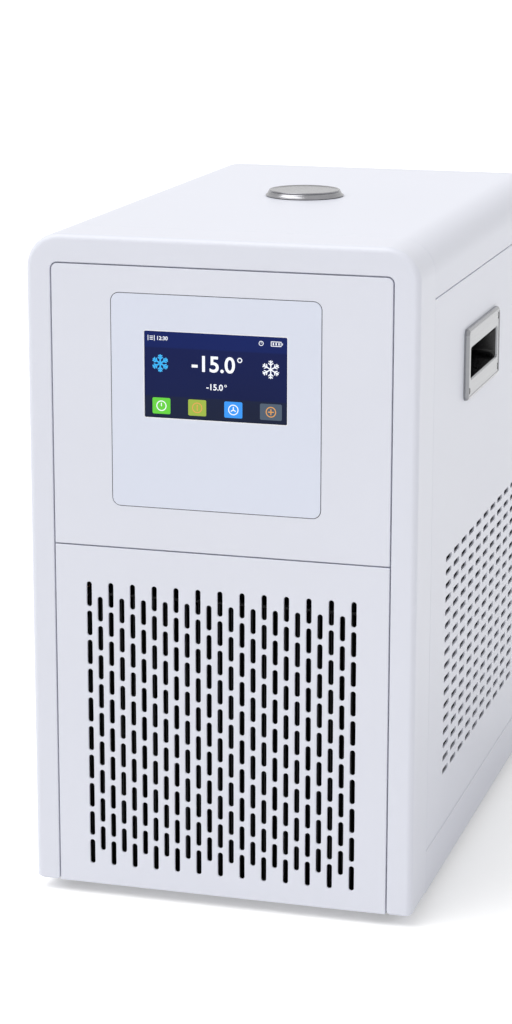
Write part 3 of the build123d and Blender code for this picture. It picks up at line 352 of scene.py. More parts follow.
def moulded(name, colour, roughness, grain=1400.0, depth=0.02, mark=0.04):
    # Moulded plastic or rubber with a fine spark-eroded grain
    finish = Finish(name, colour, roughness)
    texture = finish.noise(grain, 2.0)
    wear = finish.noise(30.0, 4.0)
    finish.bump(texture, depth, 0.5)
    finish.shade(wear, 1.0 - mark, 1.0 + mark)
    finish.plug("Roughness", wear * 0.1 + (roughness - 0.05))
    return finish.material


def castMetal(name, colour, roughness, grain, depth, spangle=0.0):
    # Bare metal: galvanised sheet with spangles, plated fittings or drawn copper
    finish = Finish(name, colour, roughness, Metallic=1.0)
    marks = finish.noise(grain, 3.0)
    tone = marks
    if spangle:
        flakes = finish.node("TexVoronoi", "Color", Vector=finish.place(), Scale=spangle)
        tone = flakes * 0.5 + marks * 0.5
    finish.shade(tone, 0.8, 1.12)
    finish.plug("Roughness", marks * 0.2 + (roughness - 0.1))
    finish.bump(marks, depth, 0.4)
    return finish.material


whiteCoat = powderCoat("white_powder_coat", (0.77, 0.785, 0.865), 700.0, 0.4)
whiteMoulding = powderCoat("white_moulding", (0.77, 0.785, 0.865), 1300.0, 0.38)
whitePanel = powderCoat("white_panel", (0.775, 0.79, 0.87), 900.0, 0.4)
trayCoat = powderCoat("tray_powder_coat", (0.765, 0.78, 0.86), 700.0, 0.42)
overlayFilm = moulded("overlay_film", (0.745, 0.78, 0.895), 0.3, 2200.0, 0.006, 0.01)
# Near white for the rim round the display window: a painted highlight along its edge
windowRimHighlight = moulded("window_edge_painted_highlight", (0.9, 0.91, 0.95), 0.35, 2200.0, 0.004, 0.02)
# Dark grey for the recess round the display plate: painted shade in the groove
grooveShadeGrey = moulded("groove_painted_shade_grey", (0.09, 0.09, 0.1), 0.6)
handleSteel = brushed("handle_steel", (0.28, 0.285, 0.3), (1.0, 0.35, 14.0), 0.2)
# Near black for the handle's pocket and screw recesses: painted shade inside the steel pressing
pocketShadeBlack = moulded("cup_painted_shade_black", (0.006, 0.006, 0.007), 0.16, 500.0, 0.01)
rubber = moulded("rubber", (0.02, 0.02, 0.021), 0.75, 900.0, 0.05, 0.15)
blackPlastic = moulded("black_plastic", (0.018, 0.018, 0.02), 0.45, 1200.0, 0.03, 0.1)
# Near black for the condenser fins: painted shade behind the grille slots
finShadeBlack = moulded("fin_black_painted_shade", (0.012, 0.012, 0.013), 0.55, 600.0, 0.02, 0.2)
motorPaint = moulded("motor_paint", (0.02, 0.021, 0.024), 0.32, 350.0, 0.05, 0.15)
pumpCast = moulded("pump_cast", (0.03, 0.03, 0.034), 0.5, 500.0, 0.06, 0.12)
foam = moulded("foam", (0.05, 0.05, 0.055), 0.9, 420.0, 0.4, 0.2)
hoseRubber = moulded("hose_rubber", (0.022, 0.022, 0.025), 0.5, 700.0, 0.05, 0.12)
boardGreen = moulded("board_green", (0.012, 0.09, 0.035), 0.35, 260.0, 0.05, 0.3)
leverRed = moulded("lever_red", (0.42, 0.012, 0.014), 0.35, 500.0, 0.03, 0.08)
galvanised = castMetal("galvanised", (0.5, 0.52, 0.55), 0.42, 90.0, 0.01, 55.0)
innerSteel = castMetal("inner_steel", (0.58, 0.59, 0.61), 0.3, 160.0, 0.008)
nickel = castMetal("nickel", (0.62, 0.61, 0.58), 0.22, 240.0, 0.01)
copper = castMetal("copper", (0.78, 0.36, 0.2), 0.28, 130.0, 0.012)
supplyCase = castMetal("supply_case", (0.55, 0.56, 0.58), 0.4, 110.0, 0.012, 70.0)
report("materials")


# Moulded front frame: a portal whose hollow section follows the outer and the inner arch
frontFrame = dict(depth=extent("front_frame")[1].y, wall=3.0, shoulder=26.0, edge=4.5, innerEdge=0.8, footEdge=1.4,
                  innerCorner=5.5, seat=4.0, lip=6.0, lipThickness=2.0, rail=20.0, arcSteps=14)
openingHalf = extent("upper_front_panel")[1].x + panelGap
openingTop = extent("upper_front_panel")[1].z + panelGap
seamHeight = extent("upper_front_panel")[0].z - panelGap / 2


def archStations(half, low, high, radius, steps, foot=()):
    # Point, outward direction and tuck of an upright arch, from the right foot over the top to the left foot
    stations = [((half, low + drop), (1, 0), inset) for inset, drop in foot] or [((half, low), (1, 0), 0)]
    for side, start in ((1, 0), (-1, 90)):
        for step in range(steps + 1):
            angle = math.radians(start + 90 * step / steps)
            out = (math.cos(angle), math.sin(angle))
            corner = (side * (half - radius) + radius * out[0], high - radius + radius * out[1])
            stations.append((corner, out, 0))
    return stations + [((-x, z), (-1, 0), tuck) for (x, z), _, tuck in reversed(stations[:len(foot) or 1])]


def offset(station, inset, depth):
    (x, z), (outX, outZ), _ = station
    return at(x - outX * inset, depth, z - outZ * inset)


def bar(bm, low, high, edge=0.4):
    # Box with rounded edges between two corners given as across, depth and height
    middle = [(a + b) / 2 for a, b in zip(low, high)]
    size = [b - a for a, b in zip(low, high)]
    made = bmesh.ops.create_cube(bm, size=1)
    bmesh.ops.scale(bm, vec=[part * mm for part in size], verts=made["verts"])
    bmesh.ops.translate(bm, vec=at(*middle), verts=made["verts"])
    edges = {e for vert in made["verts"] for e in vert.link_edges}
    bmesh.ops.bevel(bm, geom=list(edges), offset=edge * mm, segments=2, profile=0.5, affect="EDGES")


def makeFrontFrame():
    spec = frontFrame
    bm = bmesh.new()
    foot = [(spec["footEdge"] - inset, spec["footEdge"] - drop) for inset, drop in rounding(spec["footEdge"])]
    outer = archStations(halfWidth, 0, casingHeight, spec["shoulder"], spec["arcSteps"], foot)
    inner = archStations(openingHalf, 0, openingTop, spec["innerCorner"], spec["arcSteps"], foot)
    sections = []
    for outside, inside in zip(outer, inner):
        tuck = outside[2]
        line = [offset(outside, tuck, spec["depth"])]
        for inset, drop in rounding(spec["edge"], 8):
            line.append(offset(outside, inset + tuck, drop + tuck))
        for inset, drop in reversed(rounding(spec["innerEdge"])):
            line.append(offset(inside, -inset - tuck, drop + tuck))
        line.append(offset(inside, -tuck, spec["depth"]))
        solid = len(line)
        line.append(offset(inside, -spec["wall"], spec["depth"]))
        line.append(offset(inside, -spec["wall"], spec["wall"]))
        line.append(offset(outside, spec["wall"], spec["wall"]))
        line.append(offset(outside, spec["wall"], spec["depth"]))
        sections.append(ring(bm, line))
    skin(bm, sections)
    for section in (sections[0], sections[-1]):
        bm.faces.new(section[:solid])
    lipInner = openingHalf - spec["lip"]
    lipOuter = openingHalf + spec["wall"]
    front, back = spec["seat"], spec["seat"] + spec["lipThickness"]
    for side in (-1, 1):
        low, high = sorted((side * lipInner, side * lipOuter))
        bar(bm, (low, front, spec["footEdge"]), (high, back, openingTop + spec["wall"]))
    bar(bm, (-lipInner, front, openingTop - spec["lip"]), (lipInner, back, openingTop + spec["wall"]))
    bar(bm, (-lipInner, front, seamHeight - spec["rail"] / 2), (lipInner, back, seamHeight + spec["rail"] / 2))
    return finished(bm, "front_frame_moulding", whiteMoulding, replaces=["front_frame"])


makeFrontFrame()
report("front frame")


# Upper front panel: a shallow pan with the recess that the display plate sits in
display = dict(size=158.5, corner=6.0, gap=0.5, thickness=1.2, stand=0.2, windowWidth=108.0, windowHeight=64.0,
               glassGap=0.3, highlightRim=0.7)
overlayLow, overlayHigh = extent("display_overlay")
displayCentre = ((overlayLow.x + overlayHigh.x) / 2, (overlayLow.z + overlayHigh.z) / 2)
screenLow, screenHigh = extent("display_screen")
windowCentre = (displayCentre[0], (screenLow.z + screenHigh.z) / 2)
panel = dict(depth=4.0, sheet=2.0, rim=1.5, edge=0.7, corner=4.5)


def facing(depth):
    return lambda u, v: at(u, depth, v)


def plateRings(bm, width, height, radius, centre, profile, toPoint=facing):
    # Rings of one rounded outline at the insets and depths of a profile
    rings = []
    for inset, depth in profile:
        bends = tuple(max(bend - inset, 0.05) for bend in (radius if isinstance(radius, tuple) else [radius] * 4))
        line = outline(width - 2 * inset, height - 2 * inset, bends, centre)
        rings.append(ring(bm, [toPoint(depth)(u, v) for u, v in line]))
    return rings


def makeUpperPanel():
    spec = panel
    low, high = extent("upper_front_panel")
    width, height = high.x - low.x, high.z - low.z
    centre = (0, (low.z + high.z) / 2)
    corners = (spec["edge"] + 0.1, spec["corner"], spec["corner"], spec["edge"] + 0.1)
    bm = bmesh.new()
    rim = [(spec["rim"], spec["sheet"]), (spec["rim"], spec["depth"]), (0, spec["depth"])]
    outside = plateRings(bm, width, height, corners, centre, rim + rounding(spec["edge"]))
    recess = display["size"] + 2 * display["gap"]
    corner = display["corner"] + display["gap"]
    floor = display["thickness"] - display["stand"]
    inside = plateRings(bm, recess, recess, corner, displayCentre, [(-0.25, 0), (0, 0.25), (0, floor)])
    window = [(0, floor), (0, spec["sheet"])]
    mouth = plateRings(bm, display["windowWidth"], display["windowHeight"], 1.0, windowCentre, window)
    skin(bm, outside + inside[:2], laced=True)
    # The recess walls and floor and the window's walls are coloured dark grey, painted shade in the groove round the
    # display plate
    grooveShadeFaces = skin(bm, inside[1:] + mouth, laced=True)
    skin(bm, [mouth[-1], outside[0]], laced=True)
    painted(grooveShadeFaces)
    return finished(bm, "upper_panel_sheet", [whitePanel, grooveShadeGrey],
                    replaces=["upper_front_panel"])


def makeOverlay():
    spec = display
    bm = bmesh.new()
    front, back = -spec["stand"], spec["thickness"] - spec["stand"]
    edge = [(inset, front + drop) for inset, drop in rounding(0.3, 3)]
    outside = plateRings(bm, spec["size"], spec["size"], spec["corner"], displayCentre, [(0, back)] + edge)
    # A band round the window, its rounded edge and its wall are coloured near white, a painted highlight along the
    # window edge
    white = [(-spec["highlightRim"], front), (-0.15, front), (0, front + 0.15), (0, back)]
    inside = plateRings(bm, spec["windowWidth"], spec["windowHeight"], 1.0, windowCentre, white)
    skin(bm, outside + inside[:1], laced=True)
    skin(bm, [inside[-1], outside[0]], laced=True)
    painted(skin(bm, inside, laced=True))
    return finished(bm, "display_plate", [overlayFilm, windowRimHighlight], replaces=["display_overlay"])


makeUpperPanel()
makeOverlay()
report("upper panel")


# Screen: glass, and a picture of numbers and plain signs
screenPicture = dict(
    numberHeight=12.0, numberCentre=(-4.5, 409.7), numberText="-15.0",
    smallHeight=4.6, smallCentre=(-3.5, 392.9), smallText="-15.0",
    clockHeight=2.9, clockCentre=(-43.0, 427.0), clockText="12:30",
    tileHeight=12.0, tileWidth=13.7, tileMiddle=377.0,
)


class Ink:
    # A lit colour of the display with its fine pixel rows, under the glass
    def __init__(self, name, colour):
        finish = Finish(name, tuple(part * 0.1 for part in colour), 0.3)
        x, y, z = finish.axes()
        rows = (z * (2 * math.pi / (0.45 * mm))).maths("SINE") * 0.06 + 1.0
        light = finish.node("VectorMath", 0, {"operation": "SCALE"}, _0=(*colour,), Scale=rows)
        finish.plug("Emission Color", light)
        finish.plug("Emission Strength", 1.0)
        self.material = finish.material


def screenGlass():
    finish = Finish("screen_glass", (0.002, 0.004, 0.018), 0.1)
    finish.plug("Specular IOR Level", 0.12)
    x, y, z = finish.axes()
    top = at(0, 0, windowCentre[1] + display["windowHeight"] / 2).z
    bottom = at(0, 0, windowCentre[1] - display["windowHeight"] / 2).z
    share = (z - bottom) / (top - bottom)
    strip = share.between(0.80, 0.83)
    band = share.between(0.265, 0.245)
    glow = finish.noise(16.0, 2.0)
    blue = strip * 0.035 + (share * 0.02 + glow * 0.02) + 0.035 - band * 0.02
    green = strip * 0.004 + glow * 0.003 + 0.004 + band * 0.004
    red = glow * 0.001 + 0.001 + band * 0.004
    light = finish.node("CombineColor", 0, Red=red, Green=green, Blue=blue)
    finish.plug("Emission Color", light)
    finish.plug("Emission Strength", 1.0)
    return finish.material


def makeGlass():
    bm = bmesh.new()
    width = display["windowWidth"] - 2 * display["glassGap"]
    height = display["windowHeight"] - 2 * display["glassGap"]
    back = panel["sheet"]
    edge = [(inset, drop) for inset, drop in rounding(0.2, 2)]
    slab = plateRings(bm, width, height, 0.9, windowCentre, [(0, back)] + edge)
    skin(bm, slab)
    bm.faces.new(slab[-1])
    low, high = extent("display_screen")
    bar(bm, (low.x, panel["sheet"], low.z), (high.x, high.y, high.z), 0.8)
    return finished(bm, "screen_glass", screenGlass(), replaces=["display_screen"])


def flatShape(bm, points, depth=-0.03):
    return bm.faces.new(ring(bm, [at(u, depth, v) for u, v in points]))


def stroke(bm, start, end, width, depth=-0.04):
    # Straight stroke with round ends
    run = math.atan2(end[1] - start[1], end[0] - start[0])
    points = []
    for middle, turn in ((end, -90), (start, 90)):
        for step in range(5):
            angle = run + math.radians(turn + 45 * step)
            points.append((middle[0] + width / 2 * math.cos(angle), middle[1] + width / 2 * math.sin(angle)))
    flatShape(bm, points, depth)


def hoop(bm, middle, radius, width, depth=-0.04):
    steps = 32
    for step in range(steps):
        first, second = (math.radians(360 * (step + part) / steps) for part in (0, 1))
        quad = [(first, radius), (second, radius), (second, radius - width), (first, radius - width)]
        flatShape(bm, [(middle[0] + r * math.cos(a), middle[1] + r * math.sin(a)) for a, r in quad], depth)


def written(bm, text, height, middle, depth=-0.04):
    curve = bpy.data.curves.new("numbers", "FONT")
    curve.body = text
    curve.offset = 0.018
    holder = bpy.data.objects.new("numbers", curve)
    scene.collection.objects.link(holder)
    bpy.context.view_layer.update()
    mesh = bpy.data.meshes.new_from_object(holder.evaluated_get(bpy.context.evaluated_depsgraph_get()))
    bpy.data.objects.remove(holder)
    xs = [vert.co.x for vert in mesh.vertices]
    ys = [vert.co.y for vert in mesh.vertices]
    size = height / (max(ys) - min(ys))
    width = (max(xs) - min(xs)) * size
    middleX, middleY = (max(xs) + min(xs)) / 2, (max(ys) + min(ys)) / 2
    for vert in mesh.vertices:
        vert.co = at(middle[0] + (vert.co.x - middleX) * size, depth, middle[1] + (vert.co.y - middleY) * size)
    bm.from_mesh(mesh)
    bpy.data.meshes.remove(mesh)
    return width


def snowflake(bm, middle, radius, width):
    for arm in range(6):
        angle = math.radians(90 + 60 * arm)
        along = Vector((math.cos(angle), math.sin(angle)))
        start = Vector(middle)
        stroke(bm, start, start + along * radius, width)
        for share, length in ((0.5, 0.34), (0.78, 0.26)):
            joint = start + along * radius * share
            for turn in (-50, 50):
                branch = Vector((math.cos(angle + math.radians(turn)), math.sin(angle + math.radians(turn))))
                stroke(bm, joint, joint + branch * radius * length, width * 0.85)


def makePicture():
    spec = screenPicture
    colours = dict(
        white=(0.9, 0.93, 1.0), cyan=(0.03, 0.42, 0.86), green=(0.1, 0.58, 0.02), olive=(0.3, 0.42, 0.03),
        blue=(0.01, 0.27, 0.84), slate=(0.045, 0.075, 0.12), orange=(0.72, 0.32, 0.07),
    )
    sheets = {name: bmesh.new() for name in colours}
    white = sheets["white"]
    width = written(white, spec["numberText"], spec["numberHeight"], spec["numberCentre"])
    ringX = spec["numberCentre"][0] + width / 2 + 3.6
    hoop(white, (ringX, spec["numberCentre"][1] + spec["numberHeight"] / 2 - 2.0), 1.9, 0.75)
    width = written(white, spec["smallText"], spec["smallHeight"], spec["smallCentre"])
    ringX = spec["smallCentre"][0] + width / 2 + 2.0
    hoop(white, (ringX, spec["smallCentre"][1] + spec["smallHeight"] / 2 - 0.9), 0.9, 0.4)
    written(white, spec["clockText"], spec["clockHeight"], spec["clockCentre"])
    # Status signs: a frame with bars on the left, a ring and a charge mark on the right
    for height in (-1.2, 0, 1.2):
        stroke(white, (-52.6, 427 + height), (-50.4, 427 + height), 0.5)
    for side in (-54.0, -49.2):
        stroke(white, (side, 425.2), (side, 428.8), 0.5)
    hoop(white, (31.5, 427.0), 1.8, 0.45)
    stroke(white, (31.5, 427.0), (31.5, 428.0), 0.4)
    for start, end in (((39.0, 425.4), (46.4, 425.4)), ((39.0, 428.6), (46.4, 428.6)),
                       ((39.0, 425.4), (39.0, 428.6)), ((46.4, 425.4), (46.4, 428.6)),
                       ((47.4, 426.4), (47.4, 427.6))):
        stroke(white, start, end, 0.5)
    for middle in (40.6, 42.7, 44.8):
        stroke(white, (middle, 426.4), (middle, 427.6), 0.9)
    snowflake(sheets["cyan"], (-44.8, 408.5), 6.0, 1.15)
    snowflake(white, (38.7, 408.2), 6.4, 0.85)
    tiles = ((-44.1, "green", "white"), (-16.8, "olive", "orange"), (10.6, "blue", "white"), (38.9, "slate", "orange"))
    for number, (x, tile, sign) in enumerate(tiles):
        wide = spec["tileWidth"] * (1.2 if tile == "slate" else 1.0)
        middle = (x, spec["tileMiddle"])
        flatShape(sheets[tile], outline(wide, spec["tileHeight"], 1.1, middle))
        hoop(sheets[sign], middle, 3.9, 0.7)
        for petal in range(number + 1):
            angle = math.radians(90 + 360 * petal / (number + 1))
            end = (x + 1.9 * math.cos(angle), spec["tileMiddle"] + 1.9 * math.sin(angle))
            stroke(sheets[sign], middle, end, 0.75)
    for name, bm in sheets.items():
        ink = Ink("display_ink_" + name, colours[name]).material
        finished(bm, "display_picture_" + name, ink)


makeGlass()
makePicture()
report("display")


# Slotted sheets: every slot sits in a rectangular cell, and the cells join up to the slotted field
def slotCell(bm, middle, cell, slot, upright, edge, thickness, toPoint):
    # Loops of one cell, from its border over the rounded edge of the slot to the back of the sheet
    def turn(along, across):
        u, v = (across, along) if upright else (along, across)
        return (middle[0] + u, middle[1] + v)

    cellAlong, cellAcross = cell[0] / 2, cell[1] / 2
    border = []
    for side in (1, -1):
        corner = [(cellAlong / 2, cellAcross), (cellAlong, cellAcross), (cellAlong, cellAcross / 2), (cellAlong, 0),
                  (cellAlong, -cellAcross / 2), (cellAlong, -cellAcross), (cellAlong / 2, -cellAcross)]
        border += [(side * a, side * b) for a, b in corner] + [(0, -side * cellAcross)]
    rings = []
    for depth, inset in ((0, edge), (edge * 0.3, edge * 0.3), (edge, 0), (thickness, 0)):
        radius = slot[1] / 2 + inset
        reach = (slot[0] - slot[1]) / 2
        line = []
        for side in (1, -1):
            for step in range(7):
                angle = math.radians(90 - 30 * step)
                line.append((side * (reach + radius * math.cos(angle)), side * radius * math.sin(angle)))
            line.append((0, -side * radius))
        rings.append(ring(bm, [toPoint(depth)(*turn(a, b)) for a, b in line]))
    front, back = (ring(bm, [toPoint(depth)(*turn(a, b)) for a, b in border]) for depth in (0, thickness))
    skin(bm, [front] + rings + [back], laced=True)


def fieldLoop(bm, corners, toPoint, depth):
    # Border of the slotted field at one depth: its vertices in order round the rectangle
    (lowU, lowV), (highU, highV) = corners
    tolerance = 0.02 * mm
    loop = []
    path = [((lowU, lowV), (highU, lowV)), ((highU, lowV), (highU, highV)), ((highU, highV), (lowU, highV)),
            ((lowU, highV), (lowU, lowV))]
    for start, end in path:
        first, last = toPoint(depth)(*start), toPoint(depth)(*end)
        run = last - first
        length = run.length
        found = []
        for vert in bm.verts:
            along = (vert.co - first).dot(run) / length
            if -tolerance < along < length - tolerance:
                if (vert.co - first - run * (along / length)).length < tolerance:
                    found.append((along, vert))
        loop += [vert for _, vert in sorted(found, key=lambda item: item[0])]
    return loop


grille = dict(slotWidth=4.0, slotLength=19.4, pitch=22.7, columnPitch=8.5, pairs=12, rows=9, drop=5.65, edge=0.45,
              depth=3.7, sheet=1.5, rim=1.5, panelEdge=0.7)


def makeGrille():
    spec = grille
    low, high = extent("front_grille")
    height = high.z - low.z
    middle = (0, low.z + height / 2 - spec["drop"])
    pitch, columnPitch = spec["pitch"], spec["columnPitch"]
    bm = bmesh.new()
    cell = (pitch, columnPitch)
    slot = (spec["slotLength"], spec["slotWidth"])
    for column in range(-spec["pairs"], spec["pairs"] + 1):
        long = (column + spec["pairs"]) % 2 == 0
        count = spec["rows"] + 1 if long else spec["rows"]
        x = column * columnPitch
        for row in range(count):
            z = middle[1] + (row - (count - 1) / 2) * pitch
            slotCell(bm, (x, z), cell, slot, True, spec["edge"], spec["sheet"], facing)
        if long:
            continue
        for side in (-1, 1):
            inner = middle[1] + side * count * pitch / 2
            outer = inner + side * pitch / 2
            near = [(x + share * columnPitch, inner) for share in (-0.5, -0.25, 0, 0.25, 0.5)]
            far = [(x + share * columnPitch, outer) for share in (0.5, 0.25, 0, -0.25, -0.5)]
            between = (inner + outer) / 2
            points = near + [(x + columnPitch / 2, between)] + far + [(x - columnPitch / 2, between)]
            for depth in (0, spec["sheet"]):
                flatShape(bm, points, depth)
    bmesh.ops.remove_doubles(bm, verts=bm.verts, dist=0.01 * mm)
    fieldHalf = (spec["pairs"] + 0.5) * columnPitch
    fieldReach = (spec["rows"] + 1) * pitch / 2
    corners = ((-fieldHalf, middle[1] - fieldReach), (fieldHalf, middle[1] + fieldReach))
    rim = [(spec["rim"], spec["sheet"]), (spec["rim"], spec["depth"]), (0, spec["depth"])]
    outside = plateRings(bm, high.x - low.x, height, spec["panelEdge"] + 0.1, (0, (low.z + high.z) / 2),
                         rim + rounding(spec["panelEdge"]))
    skin(bm, outside)
    pane(bm, outside[-1], fieldLoop(bm, corners, facing, 0))
    pane(bm, outside[0], fieldLoop(bm, corners, facing, spec["sheet"]))
    return finished(bm, "front_grille_sheet", whitePanel, "grille", ["front_grille"])


makeGrille()
report("front grille")


# Side panels, the slotted one on the right, with the cut-out behind the handle
sidePanel = dict(rows=17, columns=10, slotLength=20.0, slotWidth=4.0, rowPitch=10.6, columnPitch=28.3,
                 centreHeight=164.0, centreDepth=240.2, edge=0.45, panelEdge=0.7, tongueStep=0.3, tongue=8.0)
grip = dict(length=122.0, height=55.5, thickness=4.0, corner=5.0, openingLength=102.0, openingHeight=24.0,
            pocket=33.0, wall=1.2, gap=0.3, depth=215.5, middle=388.65, bead=2.6, screwAlong=6.4, screwUp=7.2)
gripCentre = (grip["depth"], grip["middle"])
openingCentre = gripCentre


def beside(side):
    # Planes on one side of the casing: depth into the sheet counts inwards
    def plane(inwards):
        return lambda u, v: at(side * (halfWidth - inwards), u, v)
    return plane


def makeSidePanel(side, slotted):
    spec = sidePanel
    name = "right" if side > 0 else "left"
    low, high = extent("side_panel_" + name)
    foot = extent("base_tray")[1].z + 0.5
    head = extent("top_cover")[0].z - 0.5
    toPoint = beside(side)
    bm = bmesh.new()
    holes = {0: [], sheet: []}
    if slotted:
        for column in range(spec["columns"]):
            for row in range(spec["rows"]):
                middle = (spec["centreDepth"] + (column - (spec["columns"] - 1) / 2) * spec["columnPitch"],
                          spec["centreHeight"] + (row - (spec["rows"] - 1) / 2) * spec["rowPitch"])
                slotCell(bm, middle, (spec["columnPitch"], spec["rowPitch"]),
                         (spec["slotLength"], spec["slotWidth"]), False, spec["edge"], sheet, toPoint)
        bmesh.ops.remove_doubles(bm, verts=bm.verts, dist=0.01 * mm)
        reachU = spec["columns"] * spec["columnPitch"] / 2
        reachV = spec["rows"] * spec["rowPitch"] / 2
        corners = ((spec["centreDepth"] - reachU, spec["centreHeight"] - reachV),
                   (spec["centreDepth"] + reachU, spec["centreHeight"] + reachV))
        for depth in holes:
            holes[depth].append(fieldLoop(bm, corners, toPoint, depth))
    cutLength = grip["openingLength"] + 2 * (grip["wall"] + grip["gap"])
    cutHeight = grip["openingHeight"] + 2 * (grip["wall"] + grip["gap"])
    cut = plateRings(bm, cutLength, cutHeight, 2.0, openingCentre, [(0, 0), (0, sheet)], toPoint=toPoint)
    skin(bm, cut)
    holes[0].append(cut[0])
    holes[sheet].append(cut[1])
    centre = ((low.y + high.y) / 2, (foot + head) / 2)
    profile = [(0, sheet)] + rounding(spec["panelEdge"])
    outside = plateRings(bm, high.y - low.y, head - foot, spec["panelEdge"] + 0.1, centre, profile, toPoint=toPoint)
    skin(bm, outside)
    pane(bm, outside[-1], *holes[0])
    pane(bm, outside[0], *holes[sheet])
    # Offset tongues that slip behind the tray and the cover
    inner = halfWidth - sheet - spec["tongueStep"]
    for start, end in ((low.z, foot + spec["tongue"]), (head - spec["tongue"], high.z)):
        x = sorted((side * inner, side * (inner - sheet)))
        bar(bm, (x[0], low.y + spec["tongue"], start), (x[1], high.y - spec["tongue"], end))
    return finished(bm, "side_sheet_" + name, whiteCoat, replaces=["side_panel_" + name])


def hexScrew(bm, middle, radius, height, toPoint, base=0.0):
    # Button head with a hexagon socket
    steps = 24
    socket = radius * 0.5
    profile = [(radius, base), (radius, base + height * 0.35), (radius * 0.93, base + height * 0.7),
               (radius * 0.75, base + height * 0.92), (socket * 1.25, base + height)]
    rings = [ring(bm, [toPoint(-out)(u, v) for u, v in circle(reach, middle, steps)]) for reach, out in profile]
    for out in (base + height, base + height * 0.3):
        rings.append(ring(bm, [toPoint(-out)(u, v) for u, v in circle(socket, middle, steps, 6)]))
    skin(bm, rings, laced=True)
    bm.faces.new(rings[-1])
    bm.faces.new(rings[0])


def makeHandle(side):
    spec = grip
    name = "right" if side > 0 else "left"
    toPoint = beside(side)
    thickness = spec["thickness"]
    bm = bmesh.new()
    bead = [(0, 0)] + [(inset, drop - thickness) for inset, drop in rounding(spec["bead"], 8)]
    bead += [(2.9, -thickness), (3.2, 0.3 - thickness), (3.5, 0.5 - thickness)]
    outside = plateRings(bm, spec["length"], spec["height"], spec["corner"], gripCentre, bead, toPoint=toPoint)
    face = 0.5 - thickness
    lip = [(-1.2, face), (-0.9, face + 0.05), (-0.1, face + 0.9), (0, face + 1.3)]
    mouth = plateRings(bm, spec["openingLength"], spec["openingHeight"], 2.0, openingCentre, lip, toPoint=toPoint)
    skin(bm, outside)
    skin(bm, mouth)
    sinks = []
    screws = bmesh.new()
    for u, v in ((1, 1), (1, -1), (-1, -1)):
        middle = (gripCentre[0] + u * (spec["length"] / 2 - spec["screwAlong"]),
                  gripCentre[1] + v * (spec["height"] / 2 - spec["screwUp"]))
        rings = [ring(bm, [toPoint(depth)(*point) for point in circle(radius, middle, 24)])
                 for radius, depth in ((2.6, face), (2.4, face + 0.5), (2.4, face + 1.0))]
        # The screw recesses get the near-black pocket colour, painted shade round the screws
        painted(skin(bm, rings) + [bm.faces.new(rings[-1])])
        sinks.append(rings[0])
        hexScrew(screws, middle, 1.8, 0.75, toPoint, -face - 0.9)
    pane(bm, outside[-1], mouth[0], *sinks)
    # Cup: straight walls, well rounded into its floor, coloured near black as painted shade in the pocket
    floor = spec["pocket"]
    depths = [(0, face + 1.3), (0.4, face + 3.0)]
    depths += [(inset + 4.0, floor - drop) for inset, drop in reversed(rounding(5.0, 6))][::-1]
    cup = []
    for inset, depth in depths:
        line = outline(spec["openingLength"] - 2 * inset, spec["openingHeight"] - 2 * inset,
                       max(2.5, 4.5 - inset * 0.2), openingCentre)
        cup.append(ring(bm, [toPoint(depth)(u, v) for u, v in line]))
    painted(skin(bm, cup) + [bm.faces.new(cup[-1])])
    shell = plateRings(bm, spec["openingLength"] + 2 * spec["wall"], spec["openingHeight"] + 2 * spec["wall"], 3.5,
                       openingCentre, [(0, 0.0), (0, floor + spec["wall"] - 1), (1, floor + spec["wall"])],
                       toPoint=toPoint)
    # The cup's outer shell is coloured near black too, painted shade
    painted(skin(bm, shell) + [bm.faces.new(shell[-1])])
    finished(bm, "handle_plate_" + name, [handleSteel, pocketShadeBlack], replaces=["handle_" + name])
    finished(screws, "handle_screws_" + name, innerSteel)


for side, slotted in ((1, True), (-1, False)):
    makeSidePanel(side, slotted)
    makeHandle(side)
report("sides")


# Top cover with rounded shoulders and the hole for the filler neck
cover = dict(shoulder=26.0, edge=0.7, arcSteps=20)
capLow, capHigh = extent("filler_cap")
fillerCentre = ((capLow.x + capHigh.x) / 2, (capLow.y + capHigh.y) / 2)
filler = dict(hole=26.0, neck=25.0, neckWall=1.5, seal=22.7, spigot=22.5)


def makeCover():
    low, high = extent("top_cover")
    edge = cover["edge"]
    foot = [(edge - inset, edge - drop) for inset, drop in rounding(edge)]
    stations = archStations(halfWidth, low.z, casingHeight, cover["shoulder"], cover["arcSteps"], foot)
    bm = bmesh.new()
    start, end = low.y, high.y
    line = [(sheet, start)] + [(inset, start + drop) for inset, drop in reversed(rounding(edge))]
    corner = len(line) - 1
    line += [(inset, end - drop) for inset, drop in rounding(edge)] + [(sheet, end)]
    sections, holes = [], []
    for station in stations:
        tuck = station[2]
        sections.append(ring(bm, [offset(station, min(inset + tuck, sheet), depth) for inset, depth in line]))
    made = skin(bm, sections)
    for section in (sections[0], sections[-1]):
        bm.faces.new(section)
    # The flat top's outer and inner faces make way for the filler's hole
    flat = len(stations) // 2 - 1
    first, second = sections[flat], sections[flat + 1]
    for height, side in ((casingHeight, (corner, corner + 1)), (casingHeight - sheet, (-1, 0))):
        top = [first[side[0]], first[side[1]], second[side[1]], second[side[0]]]
        bmesh.ops.delete(bm, geom=[face for face in made if face.is_valid and set(face.verts) == set(top)],
                         context="FACES_ONLY")
        holes.append(ring(bm, [at(u, v, height) for u, v in circle(filler["hole"], fillerCentre, 64)]))
        pane(bm, top, holes[-1])
    skin(bm, holes)
    return finished(bm, "top_cover_sheet", whiteCoat, replaces=["top_cover"])


